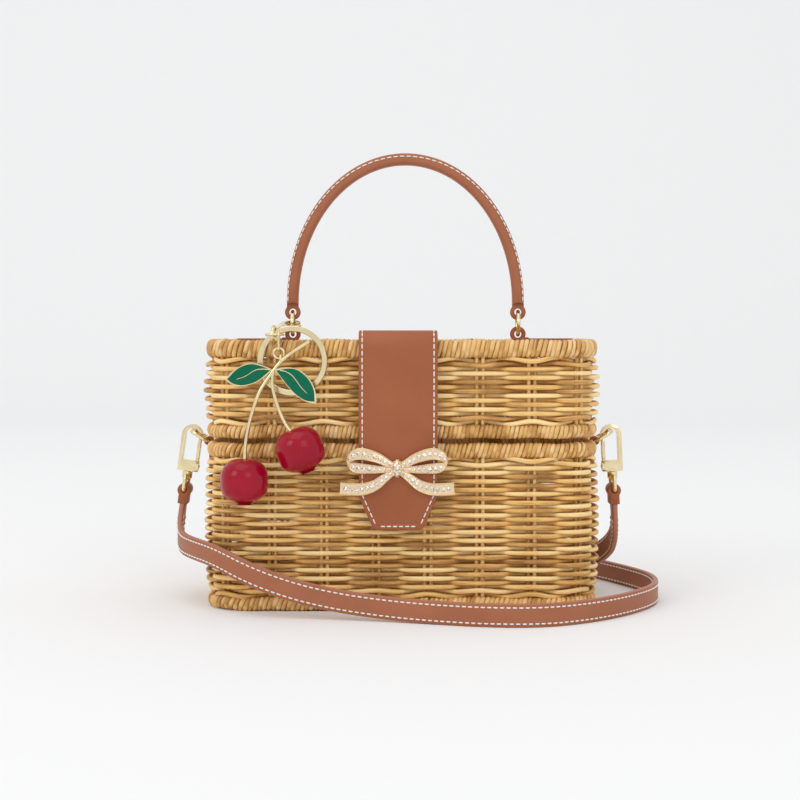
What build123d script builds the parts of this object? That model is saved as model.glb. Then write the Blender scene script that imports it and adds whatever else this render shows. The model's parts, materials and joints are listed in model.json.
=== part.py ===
"""Basket box bag: a woven cane box with a hinged lid, a leather flap, an arched handle and a long strap.

Millimetres. +X is right as seen from the front, the front faces -Y, +Z is up.
The origin is the middle of the flat underside.
"""

from build123d import *
from math import cos, radians, sin, tan
import os

os.makedirs("parts", exist_ok=True)


def save(part, name):
    """Label a finished piece and write it."""
    part.label = name
    export_step(part, f"parts/{name}.step")


# ---------------------------------------------------------------- box of woven cane
wall_length = 209.0
wall_depth = 100.0
wall_corner = 23.0
wall_thick = 6.0
rim_proud = 1.0  # how far a wound rim stands out of the wall
rim_inner_proud = 2.0  # and how far it stands into the box
base_height = 90.0
foot_height = 8.0
base_rim_height = 9.5
floor_thick = 5.0
lid_gap = 2.0
lid_height = 50.0  # to the top panel; the wound rim stands higher
lid_rim_height = 8.5
lid_top_rim_height = 7.5
lid_top_thick = 5.0
crown_height = 3.0
crown_inset = 3.2
crown_width = 4.8

lid_bottom = base_height + lid_gap
lid_top = lid_bottom + lid_height
wall_front = -wall_depth / 2
rim_front = wall_front - rim_proud
rim_side = wall_length / 2 + rim_proud

# ---------------------------------------------------------------- cane hinge loops at the back
hinge_spread = 110.0
hinge_radius = 12.0
hinge_width = 7.0
hinge_thick = 2.4
hinge_slack = 0.5
hinge_y = wall_depth / 2 + 1.5
hinge_z = base_height + lid_gap / 2

# ---------------------------------------------------------------- leather flap and its magnets
flap_centre = -2.0
flap_width = 41.6
flap_thick = 3.0
flap_rear = -18.0
flap_over = 1.8  # between the crown and the flap above it
flap_clear = 3.0  # between the rim and the flap's inner face
flap_tip_z = base_height - 45.5
flap_taper_z = base_height - 27.7
flap_tip_width = 26.0
flap_bend = 7.5
flap_tip_round = 3.0
seat_gap = 0.3
flap_face = rim_front - flap_clear
flap_mid_y = flap_face - flap_thick / 2
flap_mid_z = lid_top + crown_height + flap_over + flap_thick / 2
flap_pivot_z = lid_top + seat_gap + flap_thick / 2

magnet_z = base_height - 30.0
magnet_radius = 8.0
magnet_thick = 2.0
magnet_stem_radius = 2.0
magnet_stem_clear = 0.2
magnet_gap = 0.3
washer_radius = 6.0
washer_thick = 1.0
flap_magnet_radius = 7.0

# ---------------------------------------------------------------- gold bow
bow_z = base_height - 11.0
bow_thick = 3.0
bow_shift = -0.5
stone_radius = 1.15
stone_height = 0.9

# ---------------------------------------------------------------- handle
handle_centre = 2.0
handle_half_span = 63.0
handle_rise = 80.0
handle_spring_z = lid_top + 23.0
handle_radial = 6.4
handle_across = 9.5
eye_outer = 4.3
eye_bore = 2.1
eye_width = 4.2
ring_radius = 6.4
ring_wire = 1.1
ring_z = lid_top + 11.8
tab_length = 31.0
tab_width = 9.0
tab_thick = 3.0

# ---------------------------------------------------------------- side rings, snap hooks
side_ring_wire = 1.1
side_ring_width = 14.0
side_ring_reach = 10.5
side_ring_corner = 3.5
side_ring_tilt = 31.1
side_tab_width = 9.0
side_tab_thick = 2.0
side_tab_drop = 15.0
side_eye_bore = side_ring_wire + 0.3
side_eye_outer = side_eye_bore + 1.0
side_bar_x = rim_side + seat_gap + side_eye_outer
side_bar_z = base_height - 2.0

hook_half_width = 5.8
hook_opening = 3.5
hook_depth = 5.0
hook_clear = 0.3
hook_opening_length = 18.0
hook_block = 6.0
hook_post_radius = 1.5
hook_tilts = {"left": 8.0, "right": 3.0}
gate_clear = 0.3
gate_top = 3.0
gate_pivot = 19.6
gate_foot = 1.7
gate_foot_thick = 2.0
gate_bar_end = 15.2
gate_pin_radius = 0.8
eye_frame_width = 18.0
eye_frame_height = 8.0
eye_wire = 1.2
strap_width = 12.0
strap_loop_outer = 3.7
strap_loop_bore = 1.5
strap_fold_thick = 5.4
strap_fold_end = 41.0  # from the side ring's wire down to where the long strap starts

# ---------------------------------------------------------------- charm
clasp_ring_x = handle_centre - handle_half_span
eye_centre = Vector(clasp_ring_x - 6.5, rim_front - 1.6, lid_top + 5.6)
charm_eye_radius = 4.0
charm_eye_wire = 1.0
clasp_thick = 2.0
lever_thick = 1.0
lever_pivot = (15.6, 2.6)
lever_pin_radius = 0.6
key_ring_outer = 18.5
key_ring_band = 3.0
key_ring_thick = 1.8
key_ring_centre = Vector(eye_centre.X + 9.7, rim_front - 1.4, lid_top - 8.3)
connector_half = (4.6, 4.2)
connector_centre = eye_centre + Vector(1.0, -6.2, 0)
connector_wire = 0.6
link_x = eye_centre.X + 3.3
link_half_width = 2.1
link_length = 9.8
link_top = lid_top + 7.0
jump_radius = 2.7
jump_wire = 0.55
charm_y = rim_front - 14.0
stem_radius = 0.9
leaf_thick = 1.6
leaf_pocket = 0.84  # share of the leaf that the enamel fills
enamel_depth = 0.7
cherry_radius = 12.8

# ================================================================ the woven box
with BuildPart() as basket_shell:
    with BuildSketch():
        RectangleRounded(wall_length, wall_depth, wall_corner)
    extrude(amount=base_height)
    with BuildSketch():
        RectangleRounded(wall_length + 2 * rim_proud, wall_depth + 2 * rim_proud, wall_corner + rim_proud)
    extrude(amount=foot_height)
    with BuildSketch(Plane.XY.offset(floor_thick)):
        RectangleRounded(wall_length - 2 * wall_thick, wall_depth - 2 * wall_thick, wall_corner - wall_thick)
    extrude(amount=base_height, mode=Mode.SUBTRACT)
    rim_wall = wall_thick + rim_inner_proud
    with BuildSketch(Plane.XY.offset(base_height - base_rim_height)):
        RectangleRounded(wall_length + 2 * rim_proud, wall_depth + 2 * rim_proud, wall_corner + rim_proud)
        RectangleRounded(wall_length - 2 * rim_wall, wall_depth - 2 * rim_wall, wall_corner - rim_wall,
                         mode=Mode.SUBTRACT)
    extrude(amount=base_rim_height)
    for hinge_x in (-hinge_spread / 2, hinge_spread / 2):
        with BuildSketch(Plane((hinge_x, hinge_y, hinge_z), x_dir=(0, 1, 0), z_dir=(1, 0, 0))):
            Circle(hinge_radius + hinge_thick / 2 + hinge_slack)
            Circle(hinge_radius - hinge_thick / 2 - hinge_slack, mode=Mode.SUBTRACT)
        extrude(amount=hinge_width / 2 + hinge_slack, both=True, mode=Mode.SUBTRACT)
    with BuildSketch(Plane((flap_centre, wall_front - 1, magnet_z), x_dir=(1, 0, 0), z_dir=(0, 1, 0))):
        Circle(magnet_stem_radius + magnet_stem_clear)
    extrude(amount=wall_thick + 2, mode=Mode.SUBTRACT)
save(basket_shell.part, "basket_shell")

with BuildPart() as lid_shell:
    with BuildSketch(Plane.XY.offset(lid_bottom)):
        RectangleRounded(wall_length, wall_depth, wall_corner)
    extrude(amount=lid_height)
    with BuildSketch(Plane.XY.offset(lid_top - lid_top_rim_height)):
        RectangleRounded(wall_length + 2 * rim_proud, wall_depth + 2 * rim_proud, wall_corner + rim_proud)
    extrude(amount=lid_top_rim_height)
    crown_length = wall_length + 2 * (rim_proud - crown_inset)
    crown_depth = wall_depth + 2 * (rim_proud - crown_inset)
    crown_corner = wall_corner + rim_proud - crown_inset
    with BuildSketch(Plane.XY.offset(lid_top)):
        RectangleRounded(crown_length, crown_depth, crown_corner)
        RectangleRounded(crown_length - 2 * crown_width, crown_depth - 2 * crown_width, crown_corner - crown_width,
                         mode=Mode.SUBTRACT)
    extrude(amount=crown_height)
    with BuildSketch(Plane.XY.offset(lid_bottom)):
        RectangleRounded(wall_length - 2 * wall_thick, wall_depth - 2 * wall_thick, wall_corner - wall_thick)
    extrude(amount=lid_height - lid_top_thick, mode=Mode.SUBTRACT)
    with BuildSketch(Plane.XY.offset(lid_bottom)):
        RectangleRounded(wall_length + 2 * rim_proud, wall_depth + 2 * rim_proud, wall_corner + rim_proud)
        RectangleRounded(wall_length - 2 * rim_wall, wall_depth - 2 * rim_wall, wall_corner - rim_wall,
                         mode=Mode.SUBTRACT)
    extrude(amount=lid_rim_height)
    for hinge_x in (-hinge_spread / 2, hinge_spread / 2):
        with BuildSketch(Plane((hinge_x, hinge_y, hinge_z), x_dir=(0, 1, 0), z_dir=(1, 0, 0))):
            Circle(hinge_radius + hinge_thick / 2 + hinge_slack)
            Circle(hinge_radius - hinge_thick / 2 - hinge_slack, mode=Mode.SUBTRACT)
        extrude(amount=hinge_width / 2 + hinge_slack, both=True, mode=Mode.SUBTRACT)
save(lid_shell.part, "lid_shell")

for side, sign in (("left", -1), ("right", 1)):
    hinge_plane = Plane((sign * hinge_spread / 2, hinge_y, hinge_z), x_dir=(0, 1, 0), z_dir=(1, 0, 0))
    with BuildPart() as hinge_loop:
        with BuildSketch(hinge_plane):
            Circle(hinge_radius + hinge_thick / 2)
            Circle(hinge_radius - hinge_thick / 2, mode=Mode.SUBTRACT)
        extrude(amount=hinge_width / 2, both=True)
    save(hinge_loop.part, f"hinge_loop_{side}")

# ================================================================ flap, magnets and bow
flap_path_points = (
    (flap_centre, flap_rear, flap_pivot_z),
    (flap_centre, flap_rear - 22, flap_mid_z),
    (flap_centre, flap_mid_y, flap_mid_z),
    (flap_centre, flap_mid_y, flap_tip_z),
)
with BuildPart() as flap:
    with BuildLine() as flap_path:
        FilletPolyline(*flap_path_points, radius=[20.0, flap_bend])
    with BuildSketch(Plane(flap_path.line @ 0, x_dir=(1, 0, 0), z_dir=flap_path.line % 0)):
        Rectangle(flap_width, flap_thick)
    sweep(path=flap_path.line)
    with BuildSketch(Plane((flap_centre, flap_rear, flap_pivot_z), x_dir=(0, 1, 0), z_dir=(1, 0, 0))):
        Circle(flap_thick / 2)
    extrude(amount=flap_width / 2, both=True)
    with BuildSketch(Plane((flap_centre, flap_mid_y, 0), x_dir=(1, 0, 0), z_dir=(0, -1, 0))):
        with BuildLine():
            Polyline(
                (-flap_width, flap_taper_z),
                (-flap_width / 2, flap_taper_z),
                (-flap_tip_width / 2, flap_tip_z),
                (-flap_tip_width / 2, flap_tip_z - 1),
                (flap_tip_width / 2, flap_tip_z - 1),
                (flap_tip_width / 2, flap_tip_z),
                (flap_width / 2, flap_taper_z),
                (flap_width, flap_taper_z),
                (flap_width, flap_tip_z - 5),
                (-flap_width, flap_tip_z - 5),
                close=True,
            )
        make_face()
    extrude(amount=flap_thick, both=True, mode=Mode.SUBTRACT)
    tip_edges = flap.edges().filter_by(Axis.Y).filter_by_position(Axis.Z, flap_tip_z - 0.5, flap_tip_z + 0.5)
    fillet(tip_edges, flap_tip_round)
save(flap.part, "flap")

with BuildPart() as flap_magnet:
    with BuildSketch(Plane((flap_centre, flap_face, magnet_z), x_dir=(1, 0, 0), z_dir=(0, 1, 0))):
        Circle(flap_magnet_radius)
    extrude(amount=flap_clear + rim_proud - magnet_thick - seat_gap / 3 - magnet_gap)
save(flap_magnet.part, "flap_magnet")

magnet_back = wall_front - seat_gap / 3
with BuildPart() as basket_magnet:
    with BuildSketch(Plane((flap_centre, magnet_back, magnet_z), x_dir=(1, 0, 0), z_dir=(0, -1, 0))):
        Circle(magnet_radius)
    extrude(amount=magnet_thick)
    with BuildSketch(Plane((flap_centre, magnet_back, magnet_z), x_dir=(1, 0, 0), z_dir=(0, 1, 0))):
        Circle(magnet_stem_radius)
    extrude(amount=wall_thick + 2 * seat_gap / 3 + washer_thick + 0.5)
save(basket_magnet.part, "basket_magnet")

with BuildPart() as magnet_washer:
    washer_y = wall_front + wall_thick + seat_gap / 3
    with BuildSketch(Plane((flap_centre, washer_y, magnet_z), x_dir=(1, 0, 0), z_dir=(0, 1, 0))):
        Circle(washer_radius)
        Circle(magnet_stem_radius + magnet_stem_clear, mode=Mode.SUBTRACT)
    extrude(amount=washer_thick)
save(magnet_washer.part, "magnet_washer")

# Bow outline, from its knot, for the right half. The left half is its mirror.
bow_loop = ((1.5, 1.2), (10.6, 6.0), (18.0, 9.4), (24.0, 9.6), (26.3, 5.0), (25.5, -1.0), (20.0, -4.4), (12.0, -3.6),
            (1.5, -2.4))
bow_slit_middle = (15.2, 1.8)
bow_slit_length = 11.5
bow_slit_width = 1.8
bow_slit_slope = 11.0
bow_tail_top = ((1.0, -2.0), (8.7, -4.7), (13.0, -8.5), (18.7, -9.9), (30.0, -9.4))
bow_tail_low = ((30.0, -15.8), (18.7, -16.8), (12.5, -15.1), (7.3, -11.3), (1.0, -5.0))
bow_front = Plane((flap_centre + bow_shift, flap_face - flap_thick - seat_gap, bow_z), x_dir=(1, 0, 0),
                  z_dir=(0, -1, 0))
with BuildPart() as bow:
    with BuildSketch(bow_front):
        with BuildLine():
            Spline(*bow_loop)
            Line(bow_loop[-1], bow_loop[0])
        make_face()
        with Locations(bow_slit_middle):
            SlotOverall(bow_slit_length, bow_slit_width, rotation=bow_slit_slope, mode=Mode.SUBTRACT)
        with BuildLine():
            Spline(*bow_tail_top)
            Line(bow_tail_top[-1], bow_tail_low[0])
            Spline(*bow_tail_low)
            Line(bow_tail_low[-1], bow_tail_top[0])
        make_face()
        mirror(about=Plane.YZ)
        with Locations((0, -1.6)):
            RectangleRounded(5.2, 10.0, 1.8)
    extrude(amount=bow_thick)
save(bow.part, "bow")

# Stones sit in rows along each ribbon.
stone_rows = (
    ((4.6, 0.8), (10.4, 3.6), (16.0, 6.4), (21.0, 6.8), (23.4, 3.0), (22.0, -1.4), (16.5, -1.7), (10.5, -1.4),
     (5.0, -2.0)),
    ((3.6, -5.6), (8.0, -8.4), (12.6, -11.7), (17.4, -13.3), (22.2, -13.3), (27.0, -12.8)),
    ((0.0, 1.6), (0.0, -1.7), (0.0, -5.0)),
)
with BuildPart() as bow_stones:
    with BuildSketch(bow_front.offset(bow_thick)):
        for row in stone_rows:
            with Locations(*row):
                Circle(stone_radius)
            mirrored = tuple((-x, y) for x, y in row if x > 0)
            if mirrored:
                with Locations(*mirrored):
                    Circle(stone_radius)
    extrude(amount=stone_height)
    chamfer(bow_stones.edges().group_by(Axis.Y)[0], 0.4)
save(bow_stones.part, "bow_stones")

# ================================================================ handle
handle_eye_z = ring_z + ring_radius - 0.3
tab_eye_z = ring_z - ring_radius + 0.3
with BuildPart() as handle:
    arch_plane = Plane((handle_centre, 0, 0), x_dir=(1, 0, 0), z_dir=(0, -1, 0))
    with BuildLine(arch_plane) as arch:
        Line((-handle_half_span, handle_eye_z), (-handle_half_span, handle_spring_z))
        EllipticalCenterArc((0, handle_spring_z), handle_half_span, handle_rise, start_angle=0, arc_size=180)
        Line((handle_half_span, handle_spring_z), (handle_half_span, handle_eye_z))
    with BuildSketch(Plane((handle_centre - handle_half_span, 0, handle_eye_z), x_dir=(1, 0, 0), z_dir=(0, 0, 1))):
        RectangleRounded(handle_radial, handle_across, 2.6)
    sweep(path=arch.line)
    for sign in (-1, 1):
        with BuildSketch(Plane((handle_centre + sign * handle_half_span, 0, handle_eye_z), x_dir=(1, 0, 0),
                               z_dir=(0, -1, 0))):
            Circle(eye_outer + 1)
        extrude(amount=handle_across, both=True, mode=Mode.SUBTRACT)
        with BuildSketch(Plane((handle_centre + sign * handle_half_span, 0, handle_eye_z), x_dir=(1, 0, 0),
                               z_dir=(0, -1, 0))):
            Circle(eye_outer)
            with Locations((0, eye_outer)):
                Rectangle(handle_radial, 2.6 * 2)
        extrude(amount=eye_width / 2, both=True)
        with BuildSketch(Plane((handle_centre + sign * handle_half_span, 0, handle_eye_z), x_dir=(1, 0, 0),
                               z_dir=(0, -1, 0))):
            Circle(eye_bore)
        extrude(amount=handle_across, both=True, mode=Mode.SUBTRACT)
save(handle.part, "handle")

for side, sign in (("left", -1), ("right", 1)):
    ring_x = handle_centre + sign * handle_half_span
    with BuildPart() as handle_ring:
        with Locations(Plane((ring_x, 0, ring_z), x_dir=(0, 1, 0), z_dir=(1, 0, 0))):
            Torus(ring_radius, ring_wire)
    save(handle_ring.part, f"handle_ring_{side}")

    tab_base = lid_top + seat_gap
    with BuildPart() as handle_tab:
        with BuildSketch(Plane((ring_x, 0, 0), x_dir=(sign, 0, 0), z_dir=(0, -sign, 0))):
            with Locations((0, tab_eye_z)):
                Circle(eye_outer)
            with Locations((3.0, tab_base + tab_thick / 2 + 0.3)):
                Rectangle(6.0, tab_thick + 0.6)
        extrude(amount=eye_width / 2, both=True)
        with BuildSketch(Plane.XY.offset(tab_base)):
            with Locations((ring_x + sign * (5.0 + (tab_length - 5.0) / 2), 0)):
                RectangleRounded(tab_length - 5.0, tab_width, 3.0)
        extrude(amount=tab_thick)
        with BuildSketch(Plane((ring_x, 0, tab_eye_z), x_dir=(1, 0, 0), z_dir=(0, -1, 0))):
            Circle(eye_bore)
        extrude(amount=eye_width, both=True, mode=Mode.SUBTRACT)
        with BuildSketch(Plane.XY.offset(tab_base)):
            with Locations((ring_x, 0)):
                Rectangle(4 * eye_outer, 4 * eye_outer)
        extrude(amount=-eye_outer, mode=Mode.SUBTRACT)
    save(handle_tab.part, f"handle_tab_{side}")

# ================================================================ side rings, hooks and strap ends
strap_exits = {}
strap_downs = {}
for side, sign in (("left", -1), ("right", 1)):
    outward = Vector(sign, 0, 0)
    bar = Vector(sign * side_bar_x, 0, side_bar_z)
    with BuildPart() as side_tab:
        with BuildSketch(Plane((sign * (rim_side + seat_gap), 0, 0), x_dir=(0, sign, 0), z_dir=outward)):
            with Locations((0, side_bar_z - side_tab_drop / 2)):
                Rectangle(side_tab_width, side_tab_drop)
        extrude(amount=side_tab_thick)
        with BuildSketch(Plane(bar, x_dir=(1, 0, 0), z_dir=(0, -1, 0))):
            Circle(side_eye_outer)
        extrude(amount=side_tab_width / 2, both=True)
        with BuildSketch(Plane(bar, x_dir=(1, 0, 0), z_dir=(0, -1, 0))):
            Circle(side_eye_bore)
        extrude(amount=side_tab_width, both=True, mode=Mode.SUBTRACT)
    save(side_tab.part, f"side_tab_{side}")

    reach = Vector(sign * cos(radians(side_ring_tilt)), 0, sin(radians(side_ring_tilt)))
    ring_plane = Plane(bar, x_dir=reach, z_dir=reach.cross(Vector(0, 1, 0)))
    half = side_ring_width / 2
    with BuildPart() as side_ring:
        with BuildLine(ring_plane) as ring_path:
            FilletPolyline((0, half), (side_ring_reach, half), (side_ring_reach, -half), (0, -half), close=True,
                           radius=side_ring_corner)
        with BuildSketch(Plane(ring_path.line @ 0, z_dir=ring_path.line % 0)):
            Circle(side_ring_wire)
        sweep(path=ring_path.line)
    save(side_ring.part, f"side_ring_{side}")

    # The snap hook hangs on the ring's outer wire. Its frame: origin on that wire, y down along the hook,
    # and the gate limb on the -x side, towards the box.
    tilt = radians(hook_tilts[side])
    wire = bar + reach * side_ring_reach
    down = Vector(sign * sin(tilt), 0, -cos(tilt))
    across = Vector(sign * cos(tilt), 0, sin(tilt))
    hook_plane = Plane(wire, x_dir=across, z_dir=across.cross(down))
    bow_top = -(side_ring_wire + hook_clear)
    opening_centre = bow_top + hook_opening
    opening_end = bow_top + hook_opening_length
    block_end = opening_end + hook_block
    limb_x = (hook_opening + hook_half_width) / 2
    limb_wide = hook_half_width - hook_opening
    eye_bar_top = block_end + 2.6
    eye_bar_low = eye_bar_top + eye_frame_height
    slot_thick = gate_foot_thick + 2 * gate_clear
    with BuildPart() as snap_hook:
        with BuildSketch(hook_plane):
            with Locations((0, opening_centre)):
                Circle(hook_half_width)
            with Locations((0, (opening_centre + block_end) / 2)):
                Rectangle(2 * hook_half_width, block_end - opening_centre)
            with Locations((0, opening_centre)):
                Circle(hook_opening, mode=Mode.SUBTRACT)
            with Locations((0, (opening_centre + opening_end) / 2)):
                Rectangle(2 * hook_opening, opening_end - opening_centre, mode=Mode.SUBTRACT)
        extrude(amount=hook_depth / 2, both=True)
        with BuildSketch(hook_plane):
            with Locations((-limb_x - 1, (gate_top + opening_end + gate_clear) / 2)):
                Rectangle(limb_wide + 2, opening_end + gate_clear - gate_top)
        extrude(amount=hook_depth, both=True, mode=Mode.SUBTRACT)
        with BuildSketch(hook_plane):
            with Locations((-limb_x, (opening_end - 1 + gate_pivot + gate_foot + gate_clear) / 2)):
                Rectangle(6.4, gate_pivot + gate_foot + gate_clear - opening_end + 1)
        extrude(amount=slot_thick / 2, both=True, mode=Mode.SUBTRACT)
        with BuildSketch(hook_plane):
            with Locations((-limb_x, gate_pivot)):
                Circle(gate_pin_radius)
        extrude(amount=hook_depth, both=True, mode=Mode.SUBTRACT)
        with BuildSketch(Plane(wire + down * (block_end - 0.5), z_dir=down)):
            Circle(hook_post_radius)
        extrude(amount=eye_bar_top - block_end + 2.6)
        with BuildSketch(Plane(wire + down * (eye_bar_top + 1.9), z_dir=down)):
            Circle(hook_post_radius + 0.8)
        extrude(amount=0.8)
    save(snap_hook.part, f"snap_hook_{side}")

    with BuildPart() as hook_gate:
        with BuildSketch(hook_plane):
            with Locations((-limb_x, (gate_top + gate_clear + gate_bar_end) / 2)):
                Rectangle(limb_wide - 0.4, gate_bar_end - gate_top - gate_clear)
        extrude(amount=hook_depth / 2 - gate_clear, both=True)
        with BuildSketch(hook_plane):
            with Locations((-limb_x, (gate_bar_end - 2 + gate_pivot) / 2)):
                Rectangle(limb_wide - 0.4, gate_pivot - gate_bar_end + 2)
            with Locations((-limb_x, gate_pivot)):
                Circle(gate_foot)
                Circle(gate_pin_radius + 0.1, mode=Mode.SUBTRACT)
        extrude(amount=gate_foot_thick / 2, both=True)
    save(hook_gate.part, f"hook_gate_{side}")

    with BuildPart() as gate_pin:
        with BuildSketch(hook_plane):
            with Locations((-limb_x, gate_pivot)):
                Circle(gate_pin_radius)
        extrude(amount=hook_depth / 2, both=True)
    save(gate_pin.part, f"gate_pin_{side}")

    # The swivel eye is a wire frame across the strap, under a collar that turns on the hook's post.
    frame_plane = Plane(wire + down * eye_bar_top, x_dir=(0, 1, 0), z_dir=Vector(0, 1, 0).cross(down))
    half_eye = eye_frame_width / 2 - eye_wire
    with BuildPart() as swivel_eye:
        with BuildLine(frame_plane) as eye_path:
            FilletPolyline((half_eye, 0), (half_eye, eye_frame_height), (-half_eye, eye_frame_height), (-half_eye, 0),
                           close=True, radius=2.0)
        with BuildSketch(Plane(eye_path.line @ 0, z_dir=eye_path.line % 0)):
            Circle(eye_wire)
        sweep(path=eye_path.line)
        with BuildSketch(Plane(wire + down * (block_end + gate_clear), z_dir=down)):
            Circle(hook_post_radius + 1.3)
        extrude(amount=eye_bar_top + 1.5 - block_end - gate_clear)
        with BuildSketch(Plane(wire + down * block_end, z_dir=down)):
            Circle(hook_post_radius + 0.2)
        extrude(amount=eye_bar_top + 4 - block_end, mode=Mode.SUBTRACT)
    save(swivel_eye.part, f"swivel_eye_{side}")

    with BuildPart() as strap_end:
        with BuildSketch(hook_plane):
            with Locations((0, eye_bar_low)):
                Circle(strap_loop_outer)
            with Locations((0, (eye_bar_low + strap_fold_end) / 2)):
                Rectangle(strap_fold_thick, strap_fold_end - eye_bar_low)
            with Locations((0, eye_bar_low)):
                Circle(strap_loop_bore, mode=Mode.SUBTRACT)
        extrude(amount=strap_width / 2, both=True)
    save(strap_end.part, f"strap_end_{side}")
    strap_exits[side] = wire + down * strap_fold_end
    strap_downs[side] = down

# ================================================================ shoulder strap
strap_floor = strap_width / 2 + 0.05
strap_route = [
    strap_exits["left"],
    strap_exits["left"] + strap_downs["left"] * 9.4,
    (-124.2, -6.0, 35.6),
    (-121.5, -16.5, 32.5),
    (-115.0, -32.0, 32.0),
    (-99.0, -54.5, 30.5),
    (-81.0, -67.0, 23.0),
    (-60.0, -70.5, 15.5),
    (-38.0, -74.0, 10.5),
    (-12.0, -79.0, 7.3),
    (15.0, -87.0, strap_floor),
    (44.0, -96.0, strap_floor),
    (72.0, -96.5, strap_floor),
    (98.0, -82.0, strap_floor),
    (121.0, -59.0, strap_floor),
    (139.0, -30.0, strap_floor),
    (143.0, 4.0, strap_floor),
    (132.0, 36.0, strap_floor),
    (116.0, 68.0, strap_floor),
    (96.0, 100.0, strap_floor),
    (66.0, 128.0, strap_floor),
    (28.0, 146.0, strap_floor),
    (-18.0, 153.0, strap_floor),
    (-67.4, 151.0, strap_floor),
    (-92.0, 127.4, strap_floor),
    (-92.5, 92.6, strap_floor),
    (-67.4, 68.0, strap_floor),
    (-34.0, 65.0, strap_floor),
    (-2.0, 68.0, strap_floor),
    (26.0, 66.0, strap_floor),
    (52.0, 67.5, strap_floor),
    (84.0, 65.5, 8.0),
    (103.0, 53.0, 12.0),
    (113.5, 34.0, 18.5),
    (119.0, 17.0, 26.5),
    (120.3, 6.0, 34.0),
    strap_exits["right"] + strap_downs["right"] * 10.0,
    strap_exits["right"],
]


def bend_radii(route):
    """Largest arc at each inner point that leaves a tenth of the shorter run straight."""
    radii = []
    for before, here, after in zip(route, route[1:], route[2:]):
        run_in = Vector(here) - Vector(before)
        run_out = Vector(after) - Vector(here)
        turn = radians(run_in.get_angle(run_out))
        radii.append(0.45 * min(run_in.length, run_out.length) / tan(turn / 2))
    return radii


strap_radii = bend_radii(strap_route)
print("strap bend radii", [round(radius, 1) for radius in strap_radii])
with BuildPart() as shoulder_strap:
    with BuildLine() as strap_path:
        FilletPolyline(*strap_route, radius=strap_radii)
    with BuildSketch(Plane(strap_path.line @ 0, z_dir=strap_path.line % 0)):
        Circle(strap_width / 2)
    sweep(path=strap_path.line)
save(shoulder_strap.part, "shoulder_strap")
print("strap length", round(sum(edge.length for edge in strap_path.edges()), 1), "exits", strap_exits)

# ================================================================ charm: clasp, rings and cherries
# The clasp lies flat between the left handle ring and its own eye. Its frame: x along it to the eye, y to the right.
ring_front = Vector(clasp_ring_x, -ring_radius, ring_z)
along = (eye_centre - ring_front).normalized()
upward = (Vector(0, 0, 1) - along * along.Z).normalized()
clasp_plane = Plane(ring_front, x_dir=along, z_dir=upward)
clasp_length = (eye_centre - ring_front).length
clasp_sideways = clasp_plane.y_dir
neck = clasp_length - charm_eye_radius
with BuildPart() as clasp_body:
    with BuildSketch(clasp_plane):
        with Locations((0.9, 0)):
            Circle(4.9)
        with Locations((16, -0.6)):
            Circle(4.4)
        with Locations((neck - 11.5, 0)):
            Circle(2.6)
        make_hull()
    extrude(amount=clasp_thick / 2, both=True)
    with BuildSketch(clasp_plane):
        with Locations((0.6, 0)):
            Circle(2.9)
        with Locations((9.0, 0)):
            Circle(2.5)
        make_hull()
    extrude(amount=clasp_thick, both=True, mode=Mode.SUBTRACT)
    with BuildSketch(clasp_plane):
        with Locations((7.3, 4.9)):
            Rectangle(11.6, 5.4)
    extrude(amount=clasp_thick, both=True, mode=Mode.SUBTRACT)
    with BuildSketch(clasp_plane):
        with Locations((14.1, 3.4)):
            Rectangle(8.2, 6.8)
    extrude(amount=lever_thick / 2 + 0.2, both=True, mode=Mode.SUBTRACT)
    with BuildSketch(clasp_plane):
        with Locations(lever_pivot):
            Circle(lever_pin_radius)
    extrude(amount=clasp_thick, both=True, mode=Mode.SUBTRACT)
    with BuildSketch(Plane(ring_front + along * (neck - 10), z_dir=along)):
        Circle(1.0)
    extrude(amount=8.0)
    with BuildSketch(Plane(ring_front + along * (neck - 3.2), z_dir=along)):
        Circle(1.7)
    extrude(amount=1.4)
save(clasp_body.part, "clasp_body")

with BuildPart() as clasp_lever:
    with BuildSketch(clasp_plane):
        with Locations((8.65, 3.6)):
            Rectangle(13.9, 1.8)
        with Locations(lever_pivot):
            Circle(1.7)
        with Locations((10.6, 5.6)):
            Circle(1.7)
        with Locations(lever_pivot):
            Circle(lever_pin_radius + 0.1, mode=Mode.SUBTRACT)
    extrude(amount=lever_thick / 2, both=True)
save(clasp_lever.part, "clasp_lever")

with BuildPart() as clasp_pin:
    with BuildSketch(clasp_plane):
        with Locations(lever_pivot):
            Circle(lever_pin_radius)
    extrude(amount=clasp_thick / 2, both=True)
save(clasp_pin.part, "clasp_pin")

with BuildPart() as charm_eye:
    with Locations(Plane(eye_centre, x_dir=along, z_dir=clasp_sideways)):
        Torus(charm_eye_radius, charm_eye_wire)
    with BuildSketch(Plane(ring_front + along * (neck - 7.0), z_dir=along)):
        Circle(2.5)
    extrude(amount=7.4)
    with BuildSketch(Plane(ring_front + along * (neck - 8.0), z_dir=along)):
        Circle(1.2)
    extrude(amount=6.0, mode=Mode.SUBTRACT)
    with BuildSketch(Plane(ring_front + along * (neck - 3.6), z_dir=along)):
        Circle(1.9)
    extrude(amount=2.2, mode=Mode.SUBTRACT)
save(charm_eye.part, "charm_eye")

with BuildPart() as key_ring:
    with BuildSketch(Plane(key_ring_centre, x_dir=(1, 0, 0), z_dir=(0, -1, 0))):
        Circle(key_ring_outer)
        Circle(key_ring_outer - key_ring_band, mode=Mode.SUBTRACT)
    extrude(amount=key_ring_thick / 2, both=True)
    chamfer(key_ring.edges().filter_by(GeomType.CIRCLE), 0.3)
save(key_ring.part, "key_ring")

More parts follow.
